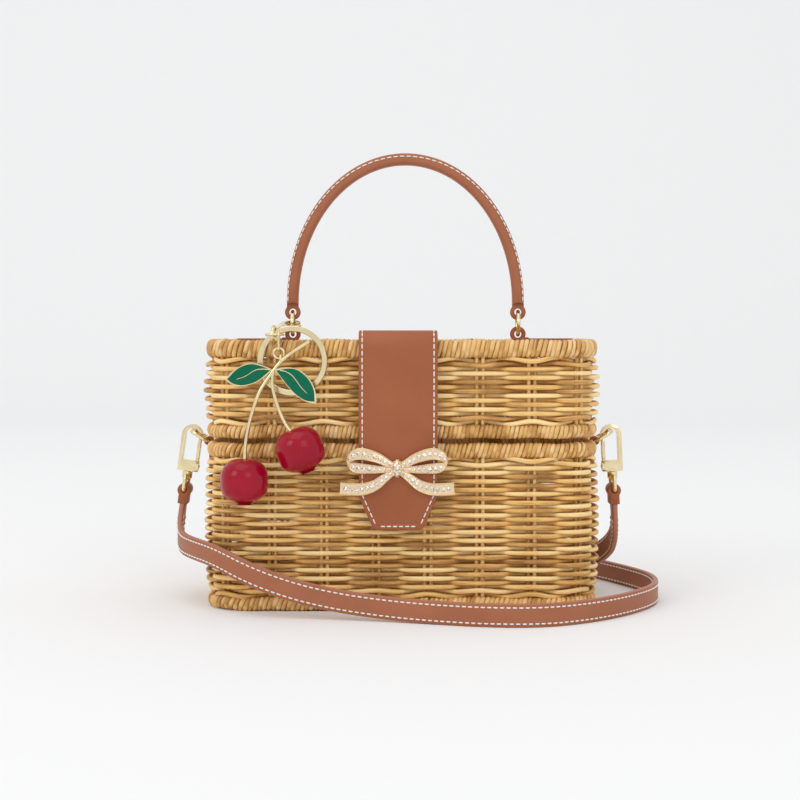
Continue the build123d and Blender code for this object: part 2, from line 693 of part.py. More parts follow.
with BuildPart() as connector_ring:
    with BuildLine(Plane(connector_centre, x_dir=(1, 0, 0), z_dir=(0, 0, 1))) as connector_path:
        EllipticalCenterArc((0, 0), connector_half[0], connector_half[1], start_angle=0, arc_size=360)
    with BuildSketch(Plane(connector_path.line @ 0, z_dir=connector_path.line % 0)):
        Circle(connector_wire)
    sweep(path=connector_path.line)
save(connector_ring.part, "connector_ring")

link_offset = (link_x - connector_centre.X) / connector_half[0]
link_y = connector_centre.Y - connector_half[1] * (1 - link_offset**2) ** 0.5
with BuildPart() as charm_link:
    with BuildLine(Plane((link_x, link_y, link_top), x_dir=(0, 1, 0), z_dir=(-1, 0, 0))) as link_path:
        FilletPolyline((link_half_width, 0), (link_half_width, link_length), (-link_half_width, link_length),
                       (-link_half_width, 0), close=True, radius=link_half_width * 0.95)
    with BuildSketch(Plane(link_path.line @ 0, z_dir=link_path.line % 0)):
        Circle(connector_wire)
    sweep(path=link_path.line)
save(charm_link.part, "charm_link")

link_low = link_top - link_length
jump_centre = Vector(link_x, link_y, link_low + connector_wire + jump_wire + 0.2 - jump_radius)
with BuildPart() as jump_ring:
    with Locations(Plane(jump_centre, x_dir=(1, 0, 0), z_dir=(0, -1, 0))):
        Torus(jump_radius, jump_wire)
save(jump_ring.part, "jump_ring")

# Stems and leaves are one casting with a small loop behind, which the jump ring goes through.
stem_long = ((-48.2, 143.9), (-56.0, 139.0), (-64.3, 132.2), (-67.4, 128.2), (-73.6, 118.9), (-77.5, 108.6),
             (-80.6, 96.6), (-81.9, 81.0))
stem_short = ((-67.0, 128.6), (-67.3, 120.6), (-64.9, 111.2), (-61.5, 102.6), (-56.6, 95.2))
leaves = {
    "left": (
        ((-67.3, 129.4), (-73.7, 131.9), (-79.6, 132.6), (-86.2, 129.9), (-91.9, 124.2)),
        ((-91.9, 124.2), (-88.2, 121.6), (-82.2, 120.9), (-74.9, 123.3), (-67.3, 129.4)),
    ),
    "right": (
        ((-66.2, 129.4), (-58.9, 130.6), (-53.5, 129.3), (-48.2, 124.6), (-45.2, 118.6), (-44.6, 111.9)),
        ((-44.6, 111.9), (-49.6, 112.6), (-54.2, 115.3), (-58.9, 119.9), (-66.2, 129.4)),
    ),
}


def leaf_outline(name, share):
    """The two edges of a leaf, drawn in towards its middle to the given share of its size."""
    upper, lower = leaves[name]
    middle_x = (upper[0][0] + upper[-1][0]) / 2
    middle_z = (upper[2][1] + lower[2][1]) / 2
    for edge in (upper, lower):
        Spline(*[(middle_x + share * (x - middle_x), middle_z + share * (z - middle_z)) for x, z in edge])


charm_hang = Vector(eye_centre.X + 67.5, charm_y, lid_top - 142.0)  # the charm's outlines are drawn from here
charm_plane = Plane(charm_hang, x_dir=(1, 0, 0), z_dir=(0, -1, 0))
loop_radius = 2.3
loop_centre = Vector(link_x + 1.0, link_y - 0.7, jump_centre.Z - jump_radius + jump_wire + 1.35 - loop_radius)
with BuildPart() as cherry_stems:
    for stem in (stem_long, stem_short):
        with BuildLine(charm_plane) as stem_path:
            Spline(*stem)
        with BuildSketch(Plane(stem_path.line @ 0, z_dir=stem_path.line % 0)):
            Circle(stem_radius)
        sweep(path=stem_path.line)
    with Locations(Plane(loop_centre, x_dir=(0, 1, 0), z_dir=(1, 0, 0))):
        Torus(loop_radius, connector_wire)
    for side in leaves:
        with BuildSketch(charm_plane):
            with BuildLine():
                leaf_outline(side, 1.0)
            make_face()
        extrude(amount=leaf_thick / 2, both=True)
        with BuildSketch(charm_plane.offset(leaf_thick / 2)):
            with BuildLine():
                leaf_outline(side, leaf_pocket)
            make_face()
        extrude(amount=-enamel_depth, mode=Mode.SUBTRACT)
save(cherry_stems.part, "cherry_stems")

for side in leaves:
    with BuildPart() as leaf_enamel:
        with BuildSketch(charm_plane.offset(leaf_thick / 2)):
            with BuildLine():
                leaf_outline(side, leaf_pocket - 0.005)
            make_face()
        extrude(amount=-enamel_depth)
    save(leaf_enamel.part, f"leaf_enamel_{side}")

cherry_half = ((0.0, 0.80), (0.30, 0.90), (0.66, 0.78), (0.95, 0.34), (0.97, -0.15), (0.72, -0.68), (0.30, -0.93),
               (0.0, -0.95))
cherries = (("left", charm_hang + Vector(-82.3, 0, 71.1), 0.0), ("right", charm_hang + Vector(-53.0, 0, 87.3), 20.0))
for side, centre, lean in cherries:
    cherry_plane = Plane(centre, x_dir=(cos(radians(lean)), 0, sin(radians(lean))), z_dir=(0, -1, 0))
    with BuildPart() as cherry:
        with BuildSketch(cherry_plane):
            with BuildLine():
                Spline(*[(x * cherry_radius, y * cherry_radius) for x, y in cherry_half],
                       tangents=((1, 0.4), (-1, 0)))
                Line((0, cherry_half[-1][1] * cherry_radius), (0, cherry_half[0][1] * cherry_radius))
            make_face()
        revolve(axis=Axis(centre, cherry_plane.y_dir))
    save(cherry.part, f"cherry_{side}")
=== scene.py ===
"""Basket box bag: woven cane, leather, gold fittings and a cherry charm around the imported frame. Metres."""

import json
import math
import random

import bpy
import bmesh
import numpy as np
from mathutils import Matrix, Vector


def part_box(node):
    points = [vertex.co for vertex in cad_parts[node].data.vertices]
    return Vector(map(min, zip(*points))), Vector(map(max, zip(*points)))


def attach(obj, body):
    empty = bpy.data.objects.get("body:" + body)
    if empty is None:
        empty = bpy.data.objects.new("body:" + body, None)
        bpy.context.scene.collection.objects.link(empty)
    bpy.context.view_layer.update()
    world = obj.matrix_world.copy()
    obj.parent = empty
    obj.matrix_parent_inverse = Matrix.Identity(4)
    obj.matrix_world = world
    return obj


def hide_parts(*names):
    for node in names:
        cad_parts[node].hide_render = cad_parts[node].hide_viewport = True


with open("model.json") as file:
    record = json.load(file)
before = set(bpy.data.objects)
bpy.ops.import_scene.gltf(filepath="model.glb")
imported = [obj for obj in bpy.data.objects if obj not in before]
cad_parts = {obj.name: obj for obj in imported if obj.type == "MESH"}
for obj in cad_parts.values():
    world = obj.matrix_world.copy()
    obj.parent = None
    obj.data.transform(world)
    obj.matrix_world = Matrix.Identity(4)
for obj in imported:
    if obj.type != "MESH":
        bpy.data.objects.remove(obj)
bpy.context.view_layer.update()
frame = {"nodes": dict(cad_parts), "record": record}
bpy.ops.object.select_all(action="DESELECT")
nodes = frame["nodes"]
random.seed(7)
dice = np.random.default_rng(7)
MM = 0.001

base_low, base_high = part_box("basket_shell")
lid_low, lid_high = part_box("lid_shell")
flap_low, flap_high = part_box("flap")
handle_low, handle_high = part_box("handle")
bow_low, bow_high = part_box("bow")


# ================================================================ camera
def make_camera():
    """Eye level with the lid's top, 0.9 m in front, tipped down a little."""
    lens = bpy.data.cameras.new("eye_level_camera")
    lens.lens = 72.2
    lens.sensor_width = 36.0
    lens.clip_start = 0.01
    camera = bpy.data.objects.new("eye_level_camera", lens)
    bpy.context.scene.collection.objects.link(camera)
    camera.location = (-0.001, -0.900, 0.150)
    camera.rotation_euler = (math.radians(87.5), 0, 0)
    bpy.context.scene.camera = camera


# ================================================================ materials
def new_material(name):
    """An empty node material with its shader and output."""
    material = bpy.data.materials.new(name)
    material.use_nodes = True
    tree = material.node_tree
    tree.nodes.clear()
    output = tree.nodes.new("ShaderNodeOutputMaterial")
    shader = tree.nodes.new("ShaderNodeBsdfPrincipled")
    tree.links.new(shader.outputs["BSDF"], output.inputs["Surface"])
    return material, tree, shader


def add(tree, kind, **values):
    """A node with its settings and unlinked sockets set."""
    node = tree.nodes.new(kind)
    for key, value in values.items():
        if hasattr(node, key):
            setattr(node, key, value)
        else:
            node.inputs[key.replace("_", " ").title()].default_value = value
    return node


def colour_ramp(tree, fac, stops):
    """Colours by position, from a list of (position, (r, g, b))."""
    ramp = tree.nodes.new("ShaderNodeValToRGB")
    elements = ramp.color_ramp.elements
    while len(elements) < len(stops):
        elements.new(0.5)
    for element, (position, colour) in zip(elements, stops):
        element.position = position
        element.color = (*colour, 1)
    tree.links.new(fac, ramp.inputs["Fac"])
    return ramp.outputs["Color"]


def grain_group():
    """Fine grain and broad mottling from object coordinates, with their sizes as inputs."""
    group = bpy.data.node_groups.new("fine_grain", "ShaderNodeTree")
    face = group.interface
    for name, value in (("Grain Scale", 1500.0), ("Mottle Scale", 50.0)):
        socket = face.new_socket(name=name, in_out="INPUT", socket_type="NodeSocketFloat")
        socket.default_value = value
    for name in ("Grain", "Mottle"):
        face.new_socket(name=name, in_out="OUTPUT", socket_type="NodeSocketFloat")
    start = group.nodes.new("NodeGroupInput")
    end = group.nodes.new("NodeGroupOutput")
    place = group.nodes.new("ShaderNodeTexCoord")
    cells = group.nodes.new("ShaderNodeTexVoronoi")
    cells.feature = "SMOOTH_F1"
    cloud = group.nodes.new("ShaderNodeTexNoise")
    cloud.inputs["Detail"].default_value = 4
    group.links.new(place.outputs["Object"], cells.inputs["Vector"])
    group.links.new(place.outputs["Object"], cloud.inputs["Vector"])
    group.links.new(start.outputs["Grain Scale"], cells.inputs["Scale"])
    group.links.new(start.outputs["Mottle Scale"], cloud.inputs["Scale"])
    group.links.new(cells.outputs["Distance"], end.inputs["Grain"])
    group.links.new(cloud.outputs["Fac"], end.inputs["Mottle"])
    return group


def use_grain(tree, group, grain_scale, mottle_scale):
    """The grain group with its two sizes set."""
    node = tree.nodes.new("ShaderNodeGroup")
    node.node_tree = group
    node.inputs["Grain Scale"].default_value = grain_scale
    node.inputs["Mottle Scale"].default_value = mottle_scale
    return node


def add_bump(tree, shader, height, strength, distance):
    """Raises the surface of a material by a mask."""
    bump = tree.nodes.new("ShaderNodeBump")
    bump.inputs["Strength"].default_value = strength
    bump.inputs["Distance"].default_value = distance
    tree.links.new(height, bump.inputs["Height"])
    tree.links.new(bump.outputs["Normal"], shader.inputs["Normal"])


def vary_roughness(tree, shader, mask, low, high):
    """Lets a mask take the roughness from low to high."""
    rough = tree.nodes.new("ShaderNodeMapRange")
    rough.inputs["To Min"].default_value = low
    rough.inputs["To Max"].default_value = high
    tree.links.new(mask, rough.inputs["Value"])
    tree.links.new(rough.outputs["Result"], shader.inputs["Roughness"])


def weigh(tree, value, factor, operation, extra=None):
    """One maths node: value and factor, and a third input where the operation takes one."""
    node = add(tree, "ShaderNodeMath", operation=operation)
    tree.links.new(value, node.inputs[0])
    node.inputs[1].default_value = factor
    if extra:
        tree.links.new(extra, node.inputs[2])
    return node.outputs[0]


def make_cane(name, stops, roughness):
    """Split cane: each strand has its own tone, with long streaks and darker flecks along it."""
    material, tree, shader = new_material(name)
    mark = add(tree, "ShaderNodeAttribute", attribute_name="strand")
    split = tree.nodes.new("ShaderNodeSeparateXYZ")
    tree.links.new(mark.outputs["Vector"], split.inputs["Vector"])
    streak_map = tree.nodes.new("ShaderNodeMapping")
    streak_map.inputs["Scale"].default_value = (60.0, 5.0, 40.0)
    tree.links.new(mark.outputs["Vector"], streak_map.inputs["Vector"])
    streak = add(tree, "ShaderNodeTexNoise", scale=1.0, detail=5.0, roughness=0.65)
    tree.links.new(streak_map.outputs["Vector"], streak.inputs["Vector"])
    broad = add(tree, "ShaderNodeTexNoise", scale=30.0, detail=2.0)
    place = tree.nodes.new("ShaderNodeTexCoord")
    tree.links.new(place.outputs["Object"], broad.inputs["Vector"])
    # Half the strand's tone and a third of the mottling on top of the streaks, moved back to the middle.
    tone = weigh(tree, split.outputs["Z"], 0.5, "MULTIPLY_ADD", streak.outputs["Fac"])
    total = weigh(tree, broad.outputs["Fac"], 0.35, "MULTIPLY_ADD", tone)
    shift = weigh(tree, total, 0.425, "SUBTRACT")
    tree.links.new(colour_ramp(tree, shift, stops), shader.inputs["Base Color"])
    shader.inputs["Roughness"].default_value = roughness
    shader.inputs["Coat Weight"].default_value = 0.12
    shader.inputs["Coat Roughness"].default_value = 0.3
    add_bump(tree, shader, streak.outputs["Fac"], 0.35, 0.0004)
    return material


def make_leather(name, dark, light, group, edge=None):
    """Smooth tan leather with fine pores; an edge attribute brings in the painted edge where there is one."""
    material, tree, shader = new_material(name)
    grain = use_grain(tree, group, 1800.0, 38.0)
    body = colour_ramp(tree, grain.outputs["Mottle"], [(0.3, dark), (0.7, light)])
    if edge:
        mark = add(tree, "ShaderNodeAttribute", attribute_name="edge")
        mix = add(tree, "ShaderNodeMix", data_type="RGBA")
        tree.links.new(mark.outputs["Fac"], mix.inputs["Factor"])
        tree.links.new(body, mix.inputs["A"])
        mix.inputs["B"].default_value = (*edge, 1)
        body = mix.outputs["Result"]
    tree.links.new(body, shader.inputs["Base Color"])
    vary_roughness(tree, shader, grain.outputs["Mottle"], 0.42, 0.56)
    shader.inputs["Specular IOR Level"].default_value = 0.36
    add_bump(tree, shader, grain.outputs["Grain"], 0.18, 0.0002)
    return material


def make_metal(name, colour, roughness, group):
    """Polished plating with faint fingerprints in its gloss."""
    material, tree, shader = new_material(name)
    grain = use_grain(tree, group, 900.0, 140.0)
    dark = tuple(0.86 * c for c in colour)
    tree.links.new(colour_ramp(tree, grain.outputs["Mottle"], [(0.25, dark), (0.75, colour)]),
                   shader.inputs["Base Color"])
    vary_roughness(tree, shader, grain.outputs["Mottle"], roughness, roughness + 0.12)
    shader.inputs["Metallic"].default_value = 1.0
    add_bump(tree, shader, grain.outputs["Mottle"], 0.05, 0.0002)
    return material


def make_enamel(name, dark, light, group, coat):
    """Poured glossy enamel with a faint depth of tone."""
    material, tree, shader = new_material(name)
    grain = use_grain(tree, group, 700.0, 60.0)
    tree.links.new(colour_ramp(tree, grain.outputs["Mottle"], [(0.3, dark), (0.7, light)]),
                   shader.inputs["Base Color"])
    shader.inputs["Roughness"].default_value = 0.16
    shader.inputs["Specular IOR Level"].default_value = 0.16
    shader.inputs["Coat Weight"].default_value = coat
    shader.inputs["Coat Roughness"].default_value = 0.03
    add_bump(tree, shader, grain.outputs["Mottle"], 0.03, 0.0004)
    return material


def make_stone(name):
    """Cut clear stones with bright backs, with painted glints and painted dark reflections in their colour.
    """
    material, tree, shader = new_material(name)
    place = tree.nodes.new("ShaderNodeTexCoord")
    painted_glint = add(tree, "ShaderNodeTexNoise", scale=900.0, detail=1.0)
    tree.links.new(place.outputs["Object"], painted_glint.inputs["Vector"])
    # Painted glints and reflections: a fine noise sets dark and bright patches in the stones' colour.
    colour = colour_ramp(tree, painted_glint.outputs["Fac"], [(0.3, (0.45, 0.42, 0.38)), (0.6, (0.98, 0.97, 0.95))])
    tree.links.new(colour, shader.inputs["Base Color"])
    shader.inputs["Metallic"].default_value = 0.85
    shader.inputs["Roughness"].default_value = 0.06
    return material


def make_thread(name):
    """White waxed thread, twisted; the darker bands in its colour are painted shade for the grooves between
    its plies.
    """
    material, tree, shader = new_material(name)
    mark = add(tree, "ShaderNodeAttribute", attribute_name="strand")
    painted_twist_shade = add(tree, "ShaderNodeTexWave", scale=1.0, distortion=0.4)
    stretch = tree.nodes.new("ShaderNodeMapping")
    stretch.inputs["Scale"].default_value = (900.0, 2.0, 0.0)
    tree.links.new(mark.outputs["Vector"], stretch.inputs["Vector"])
    tree.links.new(stretch.outputs["Vector"], painted_twist_shade.inputs["Vector"])
    # Painted shade: the wave's dark bands stand for the shaded grooves of the twisted plies.
    colour = colour_ramp(tree, painted_twist_shade.outputs["Fac"], [(0.0, (0.72, 0.68, 0.62)), (0.6, (0.90, 0.88, 0.84))])
    tree.links.new(colour, shader.inputs["Base Color"])
    shader.inputs["Roughness"].default_value = 0.6
    return material


fine_grain = grain_group()
WALL_TONES = [
    (0.10, (0.24, 0.095, 0.018)),
    (0.30, (0.54, 0.27, 0.065)),
    (0.48, (0.83, 0.49, 0.145)),
    (0.74, (0.97, 0.72, 0.34)),
]
RIM_TONES = [
    (0.12, (0.30, 0.12, 0.025)),
    (0.33, (0.60, 0.31, 0.08)),
    (0.56, (0.77, 0.46, 0.15)),
    (0.85, (0.88, 0.62, 0.34)),
]
CANE_ROUGHNESS = 0.36
cane = make_cane("honey_cane", WALL_TONES, CANE_ROUGHNESS)
rim_cane = make_cane("rim_cane", RIM_TONES, CANE_ROUGHNESS)
leather = make_leather("tan_leather", (0.32, 0.090, 0.030), (0.37, 0.110, 0.040), fine_grain)
strap_leather = make_leather("strap_leather", (0.34, 0.112, 0.050), (0.39, 0.136, 0.064), fine_grain,
                             edge=(0.46, 0.195, 0.125))
gold = make_metal("pale_gold", (0.88, 0.74, 0.45), 0.10, fine_grain)
bow_gold = make_metal("bow_gold", (0.93, 0.70, 0.44), 0.22, fine_grain)
steel = make_metal("magnet_steel", (0.62, 0.62, 0.63), 0.25, fine_grain)
green_enamel = make_enamel("leaf_green_enamel", (0.0, 0.115, 0.056), (0.0, 0.145, 0.072), fine_grain, 0.05)
red_enamel = make_enamel("cherry_red_enamel", (0.29, 0.001, 0.015), (0.36, 0.002, 0.021), fine_grain, 0.22)
stone = make_stone("clear_stone")
thread = make_thread("white_thread")


# ================================================================ lines and strands
def walk(line):
    """How far along a line each of its points lies."""
    return np.concatenate(([0.0], np.cumsum(np.linalg.norm(np.diff(line, axis=0), axis=1))))


def sample(spots, distance, line):
    """The values of a line at the given distances along it."""
    return np.stack([np.interp(spots, distance, line[:, axis]) for axis in range(line.shape[1])], 1)


def skin(rings, count):
    """The faces that join rings of points, with both ends closed."""
    faces = []
    for ring in range(rings - 1):
        for corner in range(count):
            after = (corner + 1) % count
            here = ring * count
            there = here + count
            faces.append((here + corner, here + after, there + after, there + corner))
    faces.append(tuple(reversed(range(count))))
    faces.append(tuple((rings - 1) * count + corner for corner in range(count)))
    return faces


class Strands:
    """Many tubes in one mesh. Each point keeps how far along it is, how far round, and its strand's tone."""

    def __init__(self):
        self.points = []
        self.faces = []
        self.marks = []
        self.count = 0

    def add(self, path, outward, thick, wide, sides=6, closed=False, tone=None):
        """One tube: thick is its half size along outward, wide its half size across."""
        path = np.asarray(path, float)
        total = len(path)
        if closed:
            along = np.roll(path, -1, 0) - np.roll(path, 1, 0)
        else:
            along = np.gradient(path, axis=0)
        along /= np.linalg.norm(along, axis=1)[:, None]
        across = np.cross(along, outward)
        across /= np.linalg.norm(across, axis=1)[:, None]
        out = np.cross(across, along)
        distance = walk(path)
        tone = random.random() if tone is None else tone
        thick = np.broadcast_to(thick, total)[:, None]
        wide = np.broadcast_to(wide, total)[:, None]
        rings = []
        for side in range(sides):
            turn = 2 * math.pi * side / sides
            rings.append(path + out * math.cos(turn) * thick + across * math.sin(turn) * wide)
        self.points.append(np.stack(rings, 1).reshape(-1, 3))
        mark = np.zeros((total, sides, 3))
        mark[:, :, 0] = (distance + 7.0 * tone)[:, None]
        mark[:, :, 1] = np.abs(np.arange(sides) / sides - 0.5)[None, :]
        mark[:, :, 2] = tone
        self.marks.append(mark.reshape(-1, 3))
        rows = total if closed else total - 1
        first = np.arange(rows)[:, None]
        second = (first + 1) % total
        here = np.arange(sides)[None, :]
        there = (here + 1) % sides
        quads = np.stack([first * sides + here, first * sides + there, second * sides + there,
                          second * sides + here], -1).reshape(-1, 4) + self.count
        self.faces.extend(quads.tolist())
        if not closed:
            self.faces.append([self.count + side for side in reversed(range(sides))])
            self.faces.append([self.count + (total - 1) * sides + side for side in range(sides)])
        self.count += total * sides

    def build(self, name, material, body, replaces=()):
        """The finished object, riding on its body."""
        mesh = bpy.data.meshes.new(name)
        mesh.from_pydata(np.concatenate(self.points).tolist(), [], self.faces)
        marks = mesh.attributes.new("strand", "FLOAT_VECTOR", "POINT")
        marks.data.foreach_set("vector", np.concatenate(self.marks).ravel())
        mesh.shade_smooth()
        return finish_piece(name, mesh, material, body, replaces)


def recalculate_normals(mesh):
    """Turns every face of a closed mesh outward."""
    work = bmesh.new()
    work.from_mesh(mesh)
    bmesh.ops.recalc_face_normals(work, faces=work.faces)
    work.to_mesh(mesh)
    work.free()


def finish_piece(name, mesh, material, body, replaces=()):
    """Links a finished mesh as a piece of the bag."""
    piece = bpy.data.objects.new(name, mesh)
    bpy.context.scene.collection.objects.link(piece)
    mesh.materials.clear()
    mesh.materials.append(material)
    if replaces:
        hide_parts(*replaces)
    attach(piece, body)
    return piece


# ================================================================ the woven box
WALL_INSET = 4.0 * MM  # from the rim's face to the middle of the weave
RIM_CORNER = 24.0 * MM
LOOP_X = base_high.x - WALL_INSET + 0.6 * MM
LOOP_Y = base_high.y - WALL_INSET
LOOP_CORNER = RIM_CORNER - WALL_INSET
WEAVER = 1.24 * MM  # half a weaver's width
ROW_STEP = 2.25 * MM
WEAVE_SWING = 2.35 * MM  # how far a weaver goes out or in from the middle of the weave
SWING_SHARPNESS = 1.9
RIM_ROWS = 2.2  # how many rows next to a rim bend with its binding
RIM_WAVE = 0.9 * MM
BELLY_X = 1.9 * MM  # how far the wall swells between its rims
BELLY_Y = -0.15 * MM  # slightly hollow, which leaves room for the key ring
QUARTER_STAKES = (13.8 * MM, 41.5 * MM, 69.2 * MM, 95.5 * MM, 111.8 * MM)  # from the middle of the front
STAKE_OFFSETS = (-1.65 * MM, 1.65 * MM)  # the two stakes of a pair
RIM_DEPTH = 3.9 * MM
BINDING_HALF = 1.0 * MM  # from a rim's face to the middle of its binding
BINDING_SQUARENESS = 0.75  # 1 winds a round rim, less a squarer one
CORE_MARGIN = 1.3 * MM
PANEL_GAPS = 7  # between the stake pairs of a flat panel
PANEL_INSET = 2.0 * MM
PANEL_SWING = 1.75 * MM


def wall_loop(distance, half_x=LOOP_X, half_y=LOOP_Y, corner=LOOP_CORNER):
    """Points and outward directions round the wall, from the middle of the front towards +X."""
    flat_x = half_x - corner
    flat_y = half_y - corner
    quarter = math.pi * corner / 2
    total = 4 * flat_x + 4 * flat_y + 4 * quarter
    distance = np.asarray(distance, float) % total
    place = np.zeros((len(distance), 3))
    out = np.zeros((len(distance), 3))
    spans = [flat_x, quarter, 2 * flat_y, quarter, 2 * flat_x, quarter, 2 * flat_y, quarter, flat_x]
    starts = np.concatenate(([0.0], np.cumsum(spans)))
    corner_middles = ((flat_x, -flat_y), (flat_x, flat_y), (-flat_x, flat_y), (-flat_x, -flat_y))
    straight = ((0.0, -half_y, 1, 0), (half_x, -flat_y, 0, 1), (flat_x, half_y, -1, 0),
                (-half_x, flat_y, 0, -1), (-flat_x, -half_y, 1, 0))
    for part in range(9):
        inside = (distance >= starts[part]) & (distance < starts[part + 1])
        run = distance[inside] - starts[part]
        if part % 2 == 0:
            x, y, dx, dy = straight[part // 2]
            place[inside, 0] = x + dx * run
            place[inside, 1] = y + dy * run
            out[inside, 0] = dy
            out[inside, 1] = -dx
        else:
            turn = part // 2
            angle = run / corner - math.pi / 2 + turn * math.pi / 2
            middle_x, middle_y = corner_middles[turn]
            out[inside, 0] = np.cos(angle)
            out[inside, 1] = np.sin(angle)
            place[inside, 0] = middle_x + corner * np.cos(angle)
            place[inside, 1] = middle_y + corner * np.sin(angle)
    return place, out, total


LOOP = wall_loop([0.0])[2]
STAKES = np.array([start + way * stake for start, way in ((0, 1), (LOOP / 2, -1), (LOOP / 2, 1), (LOOP, -1))
                   for stake in QUARTER_STAKES] + [LOOP / 4, 3 * LOOP / 4])
STAKES.sort()


def stake_phase(distance):
    """Counts the stakes passed on the way round: a whole number at each stake."""
    spots = np.concatenate((STAKES[-1:] - LOOP, STAKES, STAKES[:1] + LOOP))
    return np.interp(distance, spots, np.arange(-1, len(STAKES) + 1))


def weave_wall(low, high, name, body, replaces):
    """Rows of weavers that pass in front of and behind the stake pairs by turns."""
    weavers = Strands()
    rows = int((high - low) / ROW_STEP)
    step = (high - low) / rows
    samples = 230
    distance = np.arange(samples) * LOOP / samples
    beat = np.cos(math.pi * stake_phase(distance))
    for row in range(rows + 1):
        belly = math.sin(math.pi * row / rows) ** 0.6
        half_x = LOOP_X + BELLY_X * belly
        half_y = LOOP_Y + BELLY_Y * belly
        row_length = wall_loop([0.0], half_x, half_y)[2]
        place, out, _ = wall_loop(distance * row_length / LOOP, half_x, half_y)
        side = 1 if row % 2 == 0 else -1
        swing = side * np.tanh(SWING_SHARPNESS * beat) / math.tanh(SWING_SHARPNESS)
        swing *= WEAVE_SWING * (1 + 0.12 * dice.standard_normal())
        wander = np.append(dice.normal(0, 0.16 * MM, 21), 0)
        slow = np.interp(distance, np.arange(0, 22) * LOOP / 21, wander)
        slow *= np.sin(math.pi * distance / LOOP) ** 0.2
        near_low = max(0.0, 1 - row / RIM_ROWS)
        near_high = max(0.0, 1 - (rows - row) / RIM_ROWS)
        wave = RIM_WAVE * np.cos(2 * math.pi * (stake_phase(distance) + 0.5))
        path = place + out * swing[:, None]
        path[:, 2] = low + row * step + slow + wave * near_high - wave * near_low
        lens = WEAVER * (0.92 + 0.16 * np.abs(beat))
        weavers.add(path, out, lens * 0.95, lens, sides=8, closed=True)
    return weavers.build(name, cane, body, replaces)


def stand_stakes(low, high, name, body):
    """Pairs of upright stakes that the rows go round."""
    stakes = Strands()
    for middle in STAKES:
        for offset in STAKE_OFFSETS:
            place, out, _ = wall_loop([middle + offset])
            path = np.repeat(place, 5, 0)
            path += dice.normal(0, 0.12 * MM, (5, 3))
            path[:, 2] = np.linspace(low, high, 5)
            stakes.add(path, np.repeat(out, 5, 0), 1.0 * MM, 1.05 * MM, sides=8)
    return stakes.build(name, cane, body)


def wind_rim(low, high, slant, name, body, depth=RIM_DEPTH, step=2.34 * MM):
    """A rim bound with one long strand of cane, wound round and round it, and leaning by slant."""
    turns = int(LOOP / step)
    per_turn = 16
    sides = 6
    half_height = (high - low) / 2
    middle = (high + low) / 2
    index = np.arange(turns * per_turn)
    angle = 2 * math.pi * index / per_turn
    waves = (np.sin(angle), np.cos(angle))
    rise, reach = (np.sign(wave) * np.abs(wave) ** BINDING_SQUARENESS for wave in waves)
    jitter = np.repeat(dice.normal(0, 0.16 * MM, turns), per_turn)
    jitter = np.convolve(np.concatenate((jitter[-4:], jitter, jitter[:4])), np.ones(9) / 9, "valid")
    swell = 1 + np.repeat(dice.normal(0, 0.035, turns), per_turn)
    knots = np.cos(2 * math.pi * stake_phase(index * LOOP / len(index)))
    distance = index * LOOP / len(index) + slant * rise * half_height + jitter
    place, out, _ = wall_loop(distance)
    path = place + out * (reach * (depth - BINDING_HALF) * swell)[:, None]
    path[:, 2] = middle + rise * (half_height - BINDING_HALF) + 0.25 * MM * knots
    away = out * reach[:, None]
    away[:, 2] = rise
    cane_wide = step * 0.53 * (1 + np.repeat(dice.normal(0, 0.05, turns), per_turn))
    binding = Strands()
    binding.add(path, away, 0.95 * MM, cane_wide, sides=sides, closed=True, tone=0.5)
    binding.marks[0][:, 2] = np.repeat(dice.random(turns), per_turn * sides)
    binding.marks[0][:, 0] += np.repeat(dice.random(turns) * 3, per_turn * sides)
    return binding.build(name, rim_cane, body)


def rim_core(low, high, name, body):
    """The bundle of cane ends inside a wound rim, given a dark tone as painted shade for the gap between the
    rims.
    """
    core = Strands()
    path, out, _ = wall_loop(np.arange(160) * LOOP / 160)
    path[:, 2] = (low + high) / 2
    half_height = (high - low) / 2 - CORE_MARGIN
    # The low tone of 0.1 darkens the core: painted shade for the gap between the rims.
    core.add(path, out, RIM_DEPTH - CORE_MARGIN, half_height, sides=10, closed=True, tone=0.1)
    return core.build(name, cane, body)


def weave_panel(middle_z, name, body, sides):
    """A flat woven panel: pairs of stakes front to back, with weavers over and under them."""
    panel = Strands()
    half_x = LOOP_X - PANEL_INSET
    half_y = LOOP_Y - PANEL_INSET
    corner = LOOP_CORNER - PANEL_INSET
    step = 2 * half_x / PANEL_GAPS
    rows = int(2 * half_y / ROW_STEP)
    for row in range(rows + 1):
        y = -half_y + row * 2 * half_y / rows
        over = max(0.0, abs(y) - (half_y - corner))
        reach = half_x - corner + math.sqrt(max(0.0, corner**2 - over**2))
        x = np.linspace(-reach, reach, int(2 * reach / (2.8 * MM)))
        side = 1 if row % 2 == 0 else -1
        swing = side * np.tanh(SWING_SHARPNESS * np.cos(math.pi * x / step)) * PANEL_SWING
        path = np.stack([x, np.full(len(x), y), middle_z + swing], 1)
        panel.add(path, np.tile((0.0, 0.0, 1.0), (len(x), 1)), WEAVER * 0.9, WEAVER * 1.02, sides=sides)
    for place in range(-(PANEL_GAPS // 2), PANEL_GAPS // 2 + 1):
        x = place * step
        over = max(0.0, abs(x) - (half_x - corner))
        reach = half_y - corner + math.sqrt(max(0.0, corner**2 - over**2))
        for offset in STAKE_OFFSETS:
            y = np.linspace(-reach, reach, 6)
            path = np.stack([np.full(6, x + offset), y, np.full(6, middle_z)], 1)
            panel.add(path, np.tile((0.0, 0.0, 1.0), (6, 1)), 0.9 * MM, 1.0 * MM, sides=8)
    return panel.build(name, cane, body)


PANEL_TOP = lid_high.z - 3.0 * MM
FOOT_TOP = base_low.z + 7.6 * MM
BASE_RIM = base_high.z - 8.6 * MM
LID_RIM = lid_low.z + 7.8 * MM
LID_TOP_RIM = lid_high.z - 10.2 * MM


